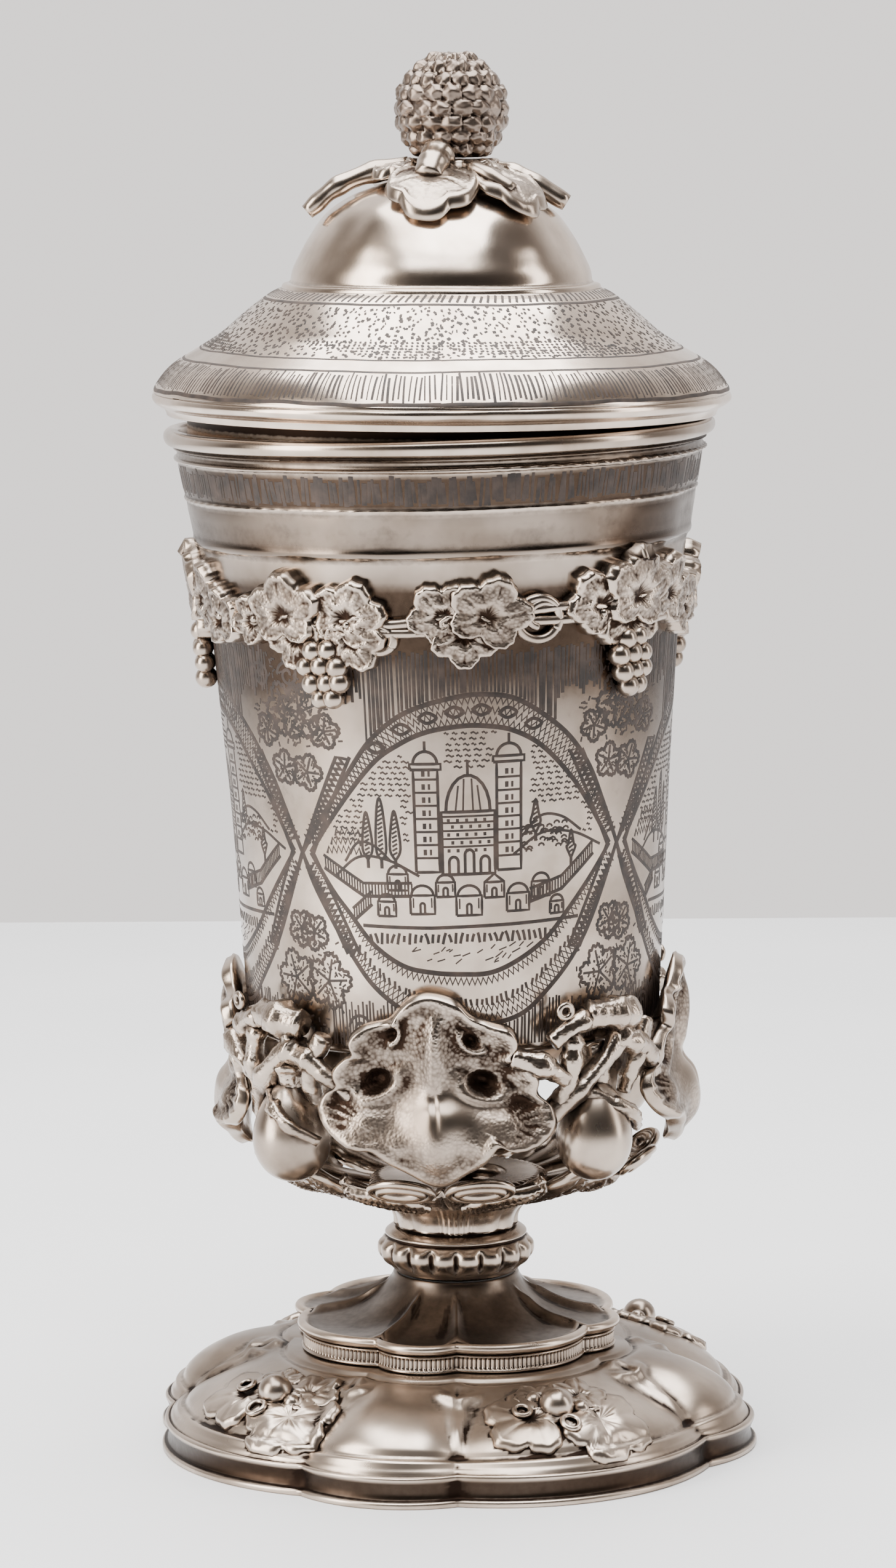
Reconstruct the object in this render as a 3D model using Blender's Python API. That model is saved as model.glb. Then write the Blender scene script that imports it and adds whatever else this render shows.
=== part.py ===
"""A covered silver wine goblet on a lobed foot, with a leaf calyx and a fruit finial.

Metres, +Z up. The origin is on the table under the middle of the foot. Angles are
measured round the goblet from its front, which faces -Y, towards +X.
"""
import math

import bmesh
import bpy
from mathutils import Matrix, Vector

MM = 0.001
GAP = 0.3 * MM              # air left between two pieces that touch
TURNED_SIDES = 28           # facets round a plain turned piece
CAST_FACETS = 0.45          # share of a casting's facets kept once its shapes are joined

# Foot base: four wide lobes and four narrow ones meet in sharp cusps.
WIDE_LOBE_DEG = 58.5
FOOT_CUSP_R = 52.4 * MM
FOOT_LOBE_OUT = 2.9 * MM    # the lobes' middles stand this much outside the cusps
FOOT_RIM_H = 5.6 * MM
FOOT_DOME_H = 11.7 * MM
FOOT_WALL = 1.0 * MM
FOOT_TREAD = 2.6 * MM       # width of the flat ring that the goblet stands on
FOOT_BOSS_R = 12.0 * MM     # opening in the top of the foot
COLLAR_CUSP_R = 29.5 * MM   # top of the dome, where the gallery stands
COLLAR_LOBE_OUT = 2.1 * MM
LOBE_PUFF = 1.3 * MM        # how much more the lobes swell halfway up the dome
RELIEF_LEAF = 7.6 * MM      # from a leaf's middle to its tip
RELIEF_H = 1.9 * MM
RELIEF_DEG = (24.0, 128.0, 209.0, 312.0)    # where leaves sit on the four wide lobes

# Reeded gallery strip and the dish that flares from the knop down to it.
GALLERY_H = 3.0 * MM
GALLERY_WALL = 1.2 * MM
DISH_INSET = 1.0 * MM       # the strip stands this far inside the dish's edge
DISH_CUSP_R = 27.6 * MM
DISH_LOBE_OUT = 2.7 * MM
DISH_EDGE = 1.3 * MM
DISH_H = 9.0 * MM
DISH_NECK_R = 11.3 * MM
DISH_WALL = 1.3 * MM

# Knop ring and fluted stem.
KNOP_R = 13.8 * MM
KNOP_H = 8.2 * MM
KNOP_GADROONS = 18
STEM_FOOT_R = 11.2 * MM
STEM_TOP_R = 15.4 * MM
STEM_H = 6.0 * MM
STEM_FLUTES = 12

# Calyx: openwork basket of four curled leaves and four gourds.
CALYX_TURN_DEG = -5.5
CALYX_HUB_R = 13.8 * MM
CALYX_HUB_H = 2.6 * MM
CALYX_BELLY_R = 38.6 * MM   # outside of the leaves at their widest, without the boss
CALYX_SEAT_H = 30.5 * MM    # from the calyx's underside up to the beaker's bottom
CALYX_LEAF = 2.4 * MM       # thickness of the cast leaves
CALYX_LEAF_W = 20.5 * MM    # half width of a leaf at its lower lobes
CALYX_TIP_H = 8.0 * MM      # how far the leaf tips rise up the beaker's wall
BOSS_R = 43.3 * MM
BOSS_HALF = 8.6 * MM        # half width of the boss
BOSS_H = 13.0 * MM
GOURD_R = 6.0 * MM
GOURD_H = 13.8 * MM
GOURD_LOW = 9.0 * MM        # underside of a gourd, above the calyx's underside
GOURD_RING_R = 38.2 * MM
TWIG_R = 1.7 * MM
STAY_R = 2.0 * MM           # rods under the gourds
LEAF_SINK = 0.4 * MM        # leaf backs lie this much inside the calyx's outline

# Beaker: heights run up from its own bottom.
BEAKER_BASE_R = 36.9 * MM
BEAKER_SHOULDER_R = 42.2 * MM
BEAKER_NECK_R = 44.4 * MM
BEAKER_BEAD_R = 46.7 * MM
BEAKER_LIP_R = 49.1 * MM
BEAKER_SHOULDER_H = 79.6 * MM
BEAKER_NECK_H = 88.8 * MM
BEAKER_BEAD_H = 102.6 * MM
BEAKER_LIP_H = 5.5 * MM
BEAKER_WALL = 0.8 * MM
BEAKER_BOTTOM = 1.4 * MM

# Vine band: four grape clusters and four single leaves on a running stem.
BAND_H = 76.6 * MM          # height of the running stem above the beaker's bottom
BAND_UNITS = 4
BAND_TURN_DEG = 5.0
BAND_LEAF = 6.8 * MM        # from a leaf's middle to its tip
BAND_STEM_R = 1.25 * MM
BAND_STAND_OFF = 0.45 * MM   # clears the beaker's curve behind the flat backs
BAND_THICK = 1.3 * MM
GRAPE_R = 2.3 * MM

# Lid: heights run up from the underside of its rim.
LID_RIM_R = 51.4 * MM
LID_EDGE_R = 48.8 * MM
LID_RIM_H = 3.6 * MM
LID_FLANGE_H = 22.9 * MM
LID_FLANGE_R = 28.4 * MM
LID_DOME_R = 26.6 * MM
LID_DOME_H = 18.6 * MM
LID_WALL = 0.8 * MM
BEZEL_H = 4.5 * MM
BEZEL_PLAY = 1.2 * MM       # room between the bezel and the mouth

# Finial.
FRUIT_R = 10.6 * MM
FRUIT_H = 22.0 * MM
FRUIT_OFF = Vector((1.8, 0.0)) * MM
FRUIT_KNOBS = 8
SPRAY_HUB_R = 8.6 * MM
SPRAY_HUB_H = 3.4 * MM
SPRAY_LEAF = 8.0 * MM
SPRAY_THICK = 1.5 * MM
SPRAY_TWIG_R = 1.6 * MM

# The whole cup leans a little on its foot, and the lid sits askew in it.
CUP_LEAN_DEG = 1.08
CUP_SHIFT = 0.6 * MM        # the calyx stands this far to one side of the stem
LID_LEAN_DEG = -0.3
LID_SHIFT = 0.3 * MM       # the lid's middle, off the mouth's middle

# Radii of the lobes' middles.
foot_lobe_r = FOOT_CUSP_R + FOOT_LOBE_OUT
collar_lobe_r = COLLAR_CUSP_R + COLLAR_LOBE_OUT
dish_lobe_r = DISH_CUSP_R + DISH_LOBE_OUT

# Heights of each piece, one on the other.
foot_top = FOOT_RIM_H + FOOT_DOME_H
gallery_z = foot_top + GAP
dish_z = gallery_z + GALLERY_H + GAP
knop_z = dish_z + DISH_H + GAP
stem_z = knop_z + KNOP_H + GAP
calyx_z = stem_z + STEM_H + 2 * GAP
seat_z = calyx_z + CALYX_SEAT_H
beaker_h = BEAKER_BEAD_H + BEAKER_LIP_H


def clear_scene():
    """Remove every object of the open scene."""
    for thing in list(bpy.data.objects):
        bpy.data.objects.remove(thing)


def silver(name, color, roughness):
    """A metal finish."""
    material = bpy.data.materials.new(name)
    material.use_nodes = True
    shader = material.node_tree.nodes["Principled BSDF"]
    shader.inputs["Base Color"].default_value = (*color, 1.0)
    shader.inputs["Metallic"].default_value = 1.0
    shader.inputs["Roughness"].default_value = roughness
    return material


def face_outward(bm):
    """Turn the faces of one closed shape outwards."""
    bmesh.ops.recalc_face_normals(bm, faces=bm.faces)
    if bm.calc_volume(signed=True) < 0.0:
        bmesh.ops.reverse_faces(bm, faces=bm.faces)


def add_piece(name, bm, material, parent=None):
    """Turn a bmesh into a named object with outward faces."""
    face_outward(bm)
    mesh = bpy.data.meshes.new(name)
    bm.to_mesh(mesh)
    bm.free()
    mesh.materials.append(material)
    mesh.shade_smooth()
    mesh.set_sharp_from_angle(angle=math.radians(40))
    piece = bpy.data.objects.new(name, mesh)
    piece.parent = parent
    bpy.context.collection.objects.link(piece)
    return piece


def around(angle, radius, height):
    """Point at an angle round the goblet, with 0 at the front."""
    return Vector((radius * math.sin(angle), -radius * math.cos(angle), height))


def turn(profile, sides, closed=True):
    """Spin a profile of (radius, height) points once round Z."""
    bm = bmesh.new()
    verts = [bm.verts.new((0.0, -radius, height)) for radius, height in profile]
    pairs = list(zip(verts, verts[1:]))
    if closed:
        pairs.append((verts[-1], verts[0]))
    edges = [bm.edges.new(pair) for pair in pairs]
    bmesh.ops.spin(bm, geom=verts + edges, cent=(0, 0, 0), axis=(0, 0, 1),
                   angle=math.tau, steps=sides, use_merge=True)
    bmesh.ops.remove_doubles(bm, verts=bm.verts, dist=0.001 * MM)
    return bm


def lobe_reach(cusp, peak, half_angle, off_middle):
    """Radius of an arc that bulges from two cusps to a peak between them."""
    half_chord = cusp * math.sin(half_angle)
    rise = peak - cusp * math.cos(half_angle)
    arc_r = (half_chord ** 2 + rise ** 2) / (2 * rise)
    centre = peak - arc_r
    across = centre * math.sin(off_middle)
    return centre * math.cos(off_middle) + math.sqrt(arc_r ** 2 - across ** 2)


def lobed_radius(angle, cusp, peak):
    """Radius of the lobed plan at an angle, from its radius at cusps and peaks."""
    wide = math.radians(WIDE_LOBE_DEG)
    quarter = math.tau / 4
    along = angle % quarter
    if along < wide:
        return lobe_reach(cusp, peak, wide / 2, along - wide / 2)
    narrow = quarter - wide
    return lobe_reach(cusp, peak, narrow / 2, along - wide - narrow / 2)


def lobed(profile, wide_steps, narrow_steps):
    """Turn a profile of (cusp radius, peak radius, height) with the lobed plan."""
    quarter_steps = wide_steps + narrow_steps
    bm = turn([(cusp, height) for cusp, peak, height in profile], 4 * quarter_steps)
    wide = math.radians(WIDE_LOBE_DEG)
    quarter = math.tau / 4
    for vert in bm.verts:
        cusp = math.hypot(vert.co.x, vert.co.y)
        peak = min(profile, key=lambda row: math.dist((row[0], row[2]), (cusp, vert.co.z)))[1]
        step = round(math.atan2(vert.co.x, -vert.co.y) / quarter * quarter_steps)
        whole, part = divmod(step, quarter_steps)
        if part <= wide_steps:
            angle = wide * part / wide_steps
        else:
            angle = wide + (quarter - wide) * (part - wide_steps) / narrow_steps
        angle += whole * quarter
        vert.co = around(angle, lobed_radius(angle, cusp, peak), vert.co.z)
    return bm


def between(points, value):
    """Read a list of (key, value) points, straight from one to the next."""
    for (key_a, value_a), (key_b, value_b) in zip(points, points[1:]):
        if value <= key_b:
            share = (value - key_a) / (key_b - key_a)
            return value_a + (value_b - value_a) * share
    return points[-1][1]


def along(profile, distance):
    """Point (radius, height) at a distance along a profile, past its end too."""
    for number, (start, end) in enumerate(zip(profile, profile[1:])):
        length = math.dist(start, end)
        if distance <= length or number == len(profile) - 2:
            share = distance / length
            return tuple(a + (b - a) * share for a, b in zip(start, end))
        distance -= length


def drape(bm, surface, angle, start, spin_deg=0.0):
    """Lay a flat shape on a surface: x goes round, y along it and z out of it."""
    tiny = 0.1 * MM
    bmesh.ops.rotate(bm, verts=bm.verts, cent=(0, 0, 0),
                     matrix=Matrix.Rotation(math.radians(spin_deg), 3, "Z"))
    for vert in bm.verts:
        x, y, out = vert.co
        middle = surface(angle, start + y)
        turned = angle + x / math.hypot(middle.x, middle.y)
        point = surface(turned, start + y)
        up = surface(turned, start + y + tiny) - point
        side = surface(turned + 0.01, start + y) - point
        vert.co = point + side.cross(up).normalized() * out
    return bm


def leaf_outline(lobes, waist, blunt):
    """Directions and reaches round a leaf: each lobe's end, then the notch after it."""
    outline = []
    for number, (direction, share) in enumerate(lobes):
        following, next_share = lobes[(number + 1) % len(lobes)]
        space = (following - direction) % 360
        if blunt:
            outline.append((direction - 0.2 * space, 0.93 * share, 1.0))
            outline.append((direction + 0.2 * space, 0.93 * share, 1.0))
        else:
            outline.append((direction, share, 1.0))
        outline.append((direction + 0.5 * space, waist * min(share, next_share), 0.5))
    return outline


def leaf(reach, thickness, crown, lobes, waist=0.6, under=0.0, blunt=False):
    """A lobed cast leaf, flat below. A lobe is (direction in degrees, share of the reach).

    A blunt leaf has round lobes and a raised ridge along each of them.
    """
    outline = leaf_outline(lobes, waist, blunt)
    bm = bmesh.new()
    bmesh.ops.create_circle(bm, cap_ends=True, segments=len(outline), radius=1.0)
    made = bmesh.ops.extrude_face_region(bm, geom=bm.faces[:])
    bmesh.ops.translate(bm, vec=(0.0, 0.0, 1.0),
                        verts=[item for item in made["geom"] if isinstance(item, bmesh.types.BMVert)])
    bmesh.ops.recalc_face_normals(bm, faces=bm.faces)
    if blunt:
        top = [face for face in bm.faces if face.calc_center_median().z > 0.9]
        bmesh.ops.inset_region(bm, faces=top, thickness=0.4, use_even_offset=True)
    bmesh.ops.poke(bm, faces=[face for face in bm.faces if len(face.verts) > 4])
    for vert in bm.verts:
        size = vert.co.xy.length
        ring = 0.0 if size < 0.1 else (0.55 if size < 0.9 else 1.0)
        turned = math.atan2(vert.co.y, vert.co.x) - math.pi / 2
        number = round(turned / math.tau * len(outline)) % len(outline)
        direction, share, ridge = outline[number]
        rise = {0.0: 0.8, 0.55: ridge, 1.0: 0.0}[ring]
        spot = Matrix.Rotation(math.radians(direction), 3, "Z") @ Vector((1, 0, 0))
        on_top = vert.co.z > 0.5
        vert.co = spot * reach * share * ring
        vert.co.z = thickness - under + crown * rise if on_top else -under
    return bm


VINE_LOBES = ((90, 1.0), (150, 0.85), (222, 0.62), (318, 0.62), (30, 0.85))
TREFOIL_LOBES = ((270, 0.95), (20, 1.0), (160, 1.0))
CALYX_LOBES = ((90, 1.25), (142, 1.0), (205, 1.12), (270, 0.95), (335, 1.12), (38, 1.0))


def ball(radius, height, centre, across=8, rings=6):
    """A closed egg, taller or flatter than wide."""
    bm = bmesh.new()
    bmesh.ops.create_uvsphere(bm, u_segments=across, v_segments=rings, radius=radius)
    bmesh.ops.scale(bm, verts=bm.verts, vec=(1, 1, height / (2 * radius)))
    bmesh.ops.translate(bm, verts=bm.verts, vec=centre)
    return bm


def grape(radius, centre):
    """A small closed ball with few faces."""
    bm = bmesh.new()
    bmesh.ops.create_icosphere(bm, subdivisions=1, radius=radius)
    bmesh.ops.translate(bm, verts=bm.verts, vec=centre)
    return bm


def twig(points, radius, tip=0.8, ring=False, resolution=0):
    """A round rod along its points, closed at both ends or joined as a ring."""
    curve = bpy.data.curves.new("twig", "CURVE")
    curve.dimensions = "3D"
    curve.bevel_depth = radius
    curve.bevel_resolution = resolution
    curve.use_fill_caps = True
    spline = curve.splines.new("POLY")
    spline.points.add(len(points) - 1)
    spline.use_cyclic_u = ring
    for number, point in enumerate(points):
        spline.points[number].co = (*point, 1.0)
        if not ring:
            spline.points[number].radius = 1.0 + (tip - 1.0) * number / (len(points) - 1)
    holder = bpy.data.objects.new("twig", curve)
    bpy.context.collection.objects.link(holder)
    bpy.context.view_layer.update()
    mesh = bpy.data.meshes.new_from_object(
        holder.evaluated_get(bpy.context.evaluated_depsgraph_get()))
    bm = bmesh.new()
    bm.from_mesh(mesh)
    bmesh.ops.remove_doubles(bm, verts=bm.verts, dist=0.001 * MM)
    bpy.data.objects.remove(holder)
    return bm


def fuse(parts, facets=CAST_FACETS):
    """Join overlapping closed shapes into one closed body, then thin its facets."""
    blanks = []
    for bm in parts:
        face_outward(bm)
        mesh = bpy.data.meshes.new("blank")
        bm.to_mesh(mesh)
        bm.free()
        blank = bpy.data.objects.new("blank", mesh)
        bpy.context.collection.objects.link(blank)
        blanks.append(blank)
    body = blanks[0]
    for other in blanks[1:]:
        union = body.modifiers.new("union", "BOOLEAN")
        union.operation = "UNION"
        union.solver = "MANIFOLD"
        union.object = other
    thin = body.modifiers.new("thin", "DECIMATE")
    thin.ratio = facets
    bpy.context.view_layer.update()
    mesh = bpy.data.meshes.new_from_object(
        body.evaluated_get(bpy.context.evaluated_depsgraph_get()))
    bm = bmesh.new()
    bm.from_mesh(mesh)
    for blank in blanks:
        bpy.data.objects.remove(blank)
    fill_pockets(bm)
    return bm


def fill_pockets(bm):
    """Take away the walls of any pocket sealed in between shapes that were joined."""
    left = set(bm.verts)
    while left:
        body = [left.pop()]
        for vert in body:
            for edge in vert.link_edges:
                other = edge.other_vert(vert)
                if other in left:
                    left.remove(other)
                    body.append(other)
        faces = {face for vert in body for face in vert.link_faces}
        volume = 0.0
        for face in faces:
            first = face.verts[0].co
            for corner, following in zip(face.verts[1:], face.verts[2:]):
                volume += first.dot(corner.co.cross(following.co))
        if volume < 0.0:
            bmesh.ops.delete(bm, geom=body, context="VERTS")


# Foot

def foot_dome_line():
    """Outside of the foot's dome from the rim's shelf up to its collar.

    Each point is (share of the way in from rim to collar, share of the way up).
    """
    shape = ((0.0, 0.0), (0.09, 0.10), (0.24, 0.32), (0.46, 0.50), (0.72, 0.71), (1.0, 1.0))
    line = []
    for inward, up in shape:
        cusp = FOOT_CUSP_R - 1.6 * MM
        peak = foot_lobe_r - 1.6 * MM
        puff = LOBE_PUFF * math.sin(math.pi * inward)
        line.append((cusp + (COLLAR_CUSP_R - cusp) * inward - puff,
                     peak + (collar_lobe_r - peak) * inward + 0.3 * puff,
                     FOOT_RIM_H + 0.4 * MM + (FOOT_DOME_H - 0.4 * MM) * up))
    return line


def foot_surface(angle, distance):
    """Point on the foot's dome, from the rim's shelf inwards."""
    line = foot_dome_line()
    cusp, height = along([(cusp, z) for cusp, peak, z in line], distance)
    peak, height = along([(peak, z) for cusp, peak, z in line], distance)
    return around(angle, lobed_radius(angle, cusp, peak), height)


def relief_unit(angle):
    """Raised leaves and berries on one wide lobe."""
    shapes = []
    for side, up, spin in ((-0.11, 8.6, 75), (0.11, 7.6, -100)):
        one = leaf(RELIEF_LEAF, RELIEF_H, 0.8 * MM, VINE_LOBES, 0.72, under=0.6 * MM)
        shapes.append(drape(one, foot_surface, angle + side, up * MM, spin))
    for side, up in ((-0.02, 13.6), (0.09, 12.6)):
        shapes.append(grape(GRAPE_R, foot_surface(angle + side, up * MM)))
    return shapes


def build_foot_base(material):
    """Lobed dome on a stepped rim, hollow underneath."""
    rim = [
        (FOOT_CUSP_R - FOOT_TREAD, foot_lobe_r - FOOT_TREAD, 0.0),
        (FOOT_CUSP_R, foot_lobe_r, 0.0),
        (FOOT_CUSP_R, foot_lobe_r, 0.17 * FOOT_RIM_H),
        (FOOT_CUSP_R - 0.8 * MM, foot_lobe_r - 0.8 * MM, 0.30 * FOOT_RIM_H),
        (FOOT_CUSP_R - 0.6 * MM, foot_lobe_r - 0.6 * MM, 0.93 * FOOT_RIM_H),
        (FOOT_CUSP_R - 1.0 * MM, foot_lobe_r - 1.0 * MM, FOOT_RIM_H),
    ]
    outside = rim + foot_dome_line()
    collar = [(FOOT_BOSS_R, FOOT_BOSS_R + 0.01 * MM, foot_top)]
    inside = [(FOOT_BOSS_R, FOOT_BOSS_R + 0.01 * MM, foot_top - FOOT_WALL)]
    for cusp, peak, height in reversed(foot_dome_line()[1:-1:2]):
        inside.append((cusp - FOOT_WALL, peak - FOOT_WALL, height - FOOT_WALL))
    shell = lobed(outside + collar + inside, 6, 2)
    shapes = [shell]
    for degrees in RELIEF_DEG:
        shapes += relief_unit(math.radians(degrees))
    return add_piece("foot_base", fuse(shapes, 1.0), material)


def build_foot_gallery(material):
    """Upright strip that follows the lobes under the dish's edge."""
    cusp = DISH_CUSP_R - DISH_INSET
    peak = dish_lobe_r - DISH_INSET
    top = gallery_z + GALLERY_H
    strip = [(cusp, peak, gallery_z), (cusp, peak, top),
             (cusp - GALLERY_WALL, peak - GALLERY_WALL, top),
             (cusp - GALLERY_WALL, peak - GALLERY_WALL, gallery_z)]
    return add_piece("foot_gallery", lobed(strip, 5, 2), material)


def build_foot_dish(material):
    """Trumpet that flares from the knop into a lobed dish."""
    spread = DISH_LOBE_OUT
    shape = ((0.0, 0.0, 1.0), (0.10, 0.0, 0.70), (0.32, 0.3, 0.36), (0.64, 0.6, 0.12),
             (1.0, 1.0, 0.05))
    top = []
    for out, lobes, up in shape:
        radius = DISH_NECK_R + (DISH_CUSP_R - DISH_NECK_R) * out
        top.append((radius, radius + spread * lobes + 0.02 * MM,
                    dish_z + DISH_EDGE + (DISH_H - DISH_EDGE) * up))
    edge = [(DISH_CUSP_R, dish_lobe_r, dish_z),
            (DISH_CUSP_R - 3.4 * MM, dish_lobe_r - 3.4 * MM, dish_z)]
    under = []
    for radius, peak, height in reversed(top[:3]):
        under.append((radius - DISH_WALL, peak - DISH_WALL, height - 0.9 * DISH_WALL))
    under[-1] = (under[-1][0], under[-1][1], dish_z + DISH_H)
    return add_piece("foot_dish", lobed(top + edge + under, 5, 2), material)


# Knop and stem

def build_knop_ring(material):
    """Ring of gadroons between the stem and the foot."""
    core = KNOP_R - 1.9 * MM
    half = KNOP_H / 2
    neck = min(STEM_FOOT_R, DISH_NECK_R) - 0.2 * MM
    profile = [(neck - 3.0 * MM, -half), (neck, -half), (core, -0.72 * half),
               (KNOP_R, -0.28 * half), (KNOP_R, 0.28 * half), (core, 0.72 * half),
               (neck, half), (neck - 3.0 * MM, half)]
    bm = turn(profile, 2 * KNOP_GADROONS)
    for vert in bm.verts:
        radius = math.hypot(vert.co.x, vert.co.y)
        step = round(math.atan2(vert.co.x, -vert.co.y) / math.tau * 2 * KNOP_GADROONS)
        if radius > neck + 0.1 * MM and step % 2:
            vert.co.x *= (radius - 1.0 * MM) / radius
            vert.co.y *= (radius - 1.0 * MM) / radius
        vert.co.z += knop_z + half
    return add_piece("knop_ring", bm, material)


def build_stem(material):
    """Short neck with flutes, flaring up to the calyx."""
    shape = ((0.0, 0.0), (0.04, 0.25), (0.48, 0.62), (1.0, 1.0))
    profile = [(STEM_FOOT_R - 3.5 * MM, 0.0)]
    profile += [(STEM_FOOT_R + (STEM_TOP_R - STEM_FOOT_R) * out, STEM_H * up)
                for out, up in shape]
    profile.append((STEM_FOOT_R - 3.5 * MM, STEM_H))
    bm = turn(profile, 2 * STEM_FLUTES)
    for vert in bm.verts:
        radius = math.hypot(vert.co.x, vert.co.y)
        step = round(math.atan2(vert.co.x, -vert.co.y) / math.tau * 2 * STEM_FLUTES)
        if radius > STEM_FOOT_R - 1.0 * MM and step % 2:
            vert.co.x *= (radius - 0.5 * MM) / radius
            vert.co.y *= (radius - 0.5 * MM) / radius
        vert.co.z += stem_z
    return add_piece("stem", bm, material)


# Calyx

def calyx_line():
    """Outside of a calyx leaf, from under the hub's edge to its tip on the beaker."""
    clear = CALYX_LEAF + LEAF_SINK + GAP + 0.3 * MM
    return [(CALYX_HUB_R - 4 * MM, 0.2 * MM),
            (CALYX_HUB_R + 3.0 * MM, 1.0 * MM),
            (0.72 * CALYX_BELLY_R, 0.16 * CALYX_SEAT_H),
            (0.93 * CALYX_BELLY_R, 0.34 * CALYX_SEAT_H),
            (1.03 * CALYX_BELLY_R, 0.55 * CALYX_SEAT_H),
            (CALYX_BELLY_R, 0.78 * CALYX_SEAT_H),
            (wall_radius(1.0 * MM) + clear, CALYX_SEAT_H - 0.5 * MM),
            (wall_radius(CALYX_TIP_H) + clear, CALYX_SEAT_H + CALYX_TIP_H)]


def calyx_surface(angle, distance):
    """Point on the outside of the calyx leaves."""
    radius, height = along(calyx_line(), distance)
    return around(angle, radius, calyx_z + height)


def calyx_reach():
    """Length of the calyx leaf's outside line."""
    line = calyx_line()
    return sum(math.dist(start, end) for start, end in zip(line, line[1:]))


def calyx_leaf(angle):
    """One curled leaf with its strap down to the hub and its bold boss."""
    reach = calyx_reach()
    middle = 0.60 * reach
    blade = leaf(CALYX_LEAF_W, CALYX_LEAF, 1.0 * MM, CALYX_LOBES, 0.72, blunt=True)
    tip = max(vert.co.y for vert in blade.verts)
    low = -min(vert.co.y for vert in blade.verts)
    for vert in blade.verts:
        room = (reach - middle) / tip if vert.co.y > 0 else 0.62 * middle / low
        vert.co.y *= room
        vert.co.z -= CALYX_LEAF + LEAF_SINK
    shapes = [drape(blade, calyx_surface, angle, middle)]
    strap = bmesh.new()
    bmesh.ops.create_grid(strap, x_segments=1, y_segments=3, size=1.0)
    for vert in strap.verts:
        vert.co = Vector((vert.co.x * 5.2 * MM, (vert.co.y + 1) * 0.24 * reach, -LEAF_SINK))
    made = bmesh.ops.extrude_face_region(strap, geom=strap.faces[:])
    for item in made["geom"]:
        if isinstance(item, bmesh.types.BMVert):
            item.co.z = -2.2 * MM
    shapes.append(drape(strap, calyx_surface, angle, 0.6 * MM))
    boss_z = calyx_z + 0.50 * CALYX_SEAT_H
    boss = ball(BOSS_HALF, BOSS_H, (0, 0, 0), 8, 5)
    deep = 5.4 * MM
    for vert in boss.verts:
        low = max(0.0, -vert.co.z) / (BOSS_H / 2)
        vert.co.x *= 1.0 - 0.45 * low
        vert.co.y *= deep / BOSS_HALF
    bmesh.ops.rotate(boss, verts=boss.verts, cent=(0, 0, 0),
                     matrix=Matrix.Rotation(angle, 3, "Z"))
    bmesh.ops.translate(boss, verts=boss.verts, vec=around(angle, BOSS_R - deep, boss_z))
    shapes.append(boss)
    return shapes


def gourd_unit(angle):
    """A smooth gourd on its leafy stay, with two crossed twigs above it."""
    low = calyx_z + GOURD_LOW
    gourd_z = low + GOURD_H / 2
    shapes = [ball(GOURD_R, GOURD_H, around(angle, GOURD_RING_R, gourd_z), 8, 6)]
    hub = CALYX_HUB_R - 2 * MM
    stay = [around(angle, hub, calyx_z + STAY_R + 0.3 * MM),
            around(angle, 0.55 * CALYX_BELLY_R, calyx_z + STAY_R + 0.7 * MM),
            around(angle, 0.76 * CALYX_BELLY_R, calyx_z + 0.5 * GOURD_LOW),
            around(angle, GOURD_RING_R - 1 * MM, low + 2.4 * MM)]
    shapes.append(twig(stay, STAY_R, 1.0))
    wall = wall_radius(1.0 * MM) + GAP + TWIG_R + 0.8 * MM
    top = calyx_z + CALYX_SEAT_H + 1.6 * MM
    for side in (-1, 1):
        rod = [around(angle - side * 0.34, wall + 1.5 * MM, top + 1.0 * MM),
               around(angle - side * 0.05, wall + 1.0 * MM * (1 + side),
                      top - 0.21 * CALYX_SEAT_H),
               around(angle + side * 0.30, 0.99 * CALYX_BELLY_R, top - 0.43 * CALYX_SEAT_H),
               around(angle + side * 0.42, 0.97 * CALYX_BELLY_R, top - 0.56 * CALYX_SEAT_H)]
        shapes.append(twig(rod, TWIG_R, 0.9))
    stub = [around(angle - 0.36, wall + 1.0 * MM, top - 0.2 * MM),
            around(angle + 0.12, wall + 0.6 * MM, top + 4.6 * MM)]
    shapes.append(twig(stub, TWIG_R * 1.1, 0.95))
    post = [around(angle, GOURD_RING_R - 1 * MM, gourd_z + 4 * MM),
            around(angle, wall_radius(0.0), seat_z - 0.3 * MM)]
    shapes.append(twig(post, TWIG_R, 1.0))
    return shapes


def build_calyx(material, parent):
    """The openwork basket that carries the beaker."""
    hub_in = CALYX_HUB_R - 6.0 * MM
    hub = turn([(hub_in, calyx_z), (CALYX_HUB_R, calyx_z),
                (CALYX_HUB_R + 2.5 * MM, calyx_z + 0.5 * CALYX_HUB_H),
                (CALYX_HUB_R, calyx_z + CALYX_HUB_H), (hub_in, calyx_z + CALYX_HUB_H)], 24)
    shapes = [hub]
    for number in range(4):
        angle = math.radians(CALYX_TURN_DEG + 90 * number)
        shapes += calyx_leaf(angle)
        shapes += gourd_unit(angle + math.radians(45))
    bm = fuse(shapes)
    return add_piece("calyx", bm, material, parent)


# Beaker

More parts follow.
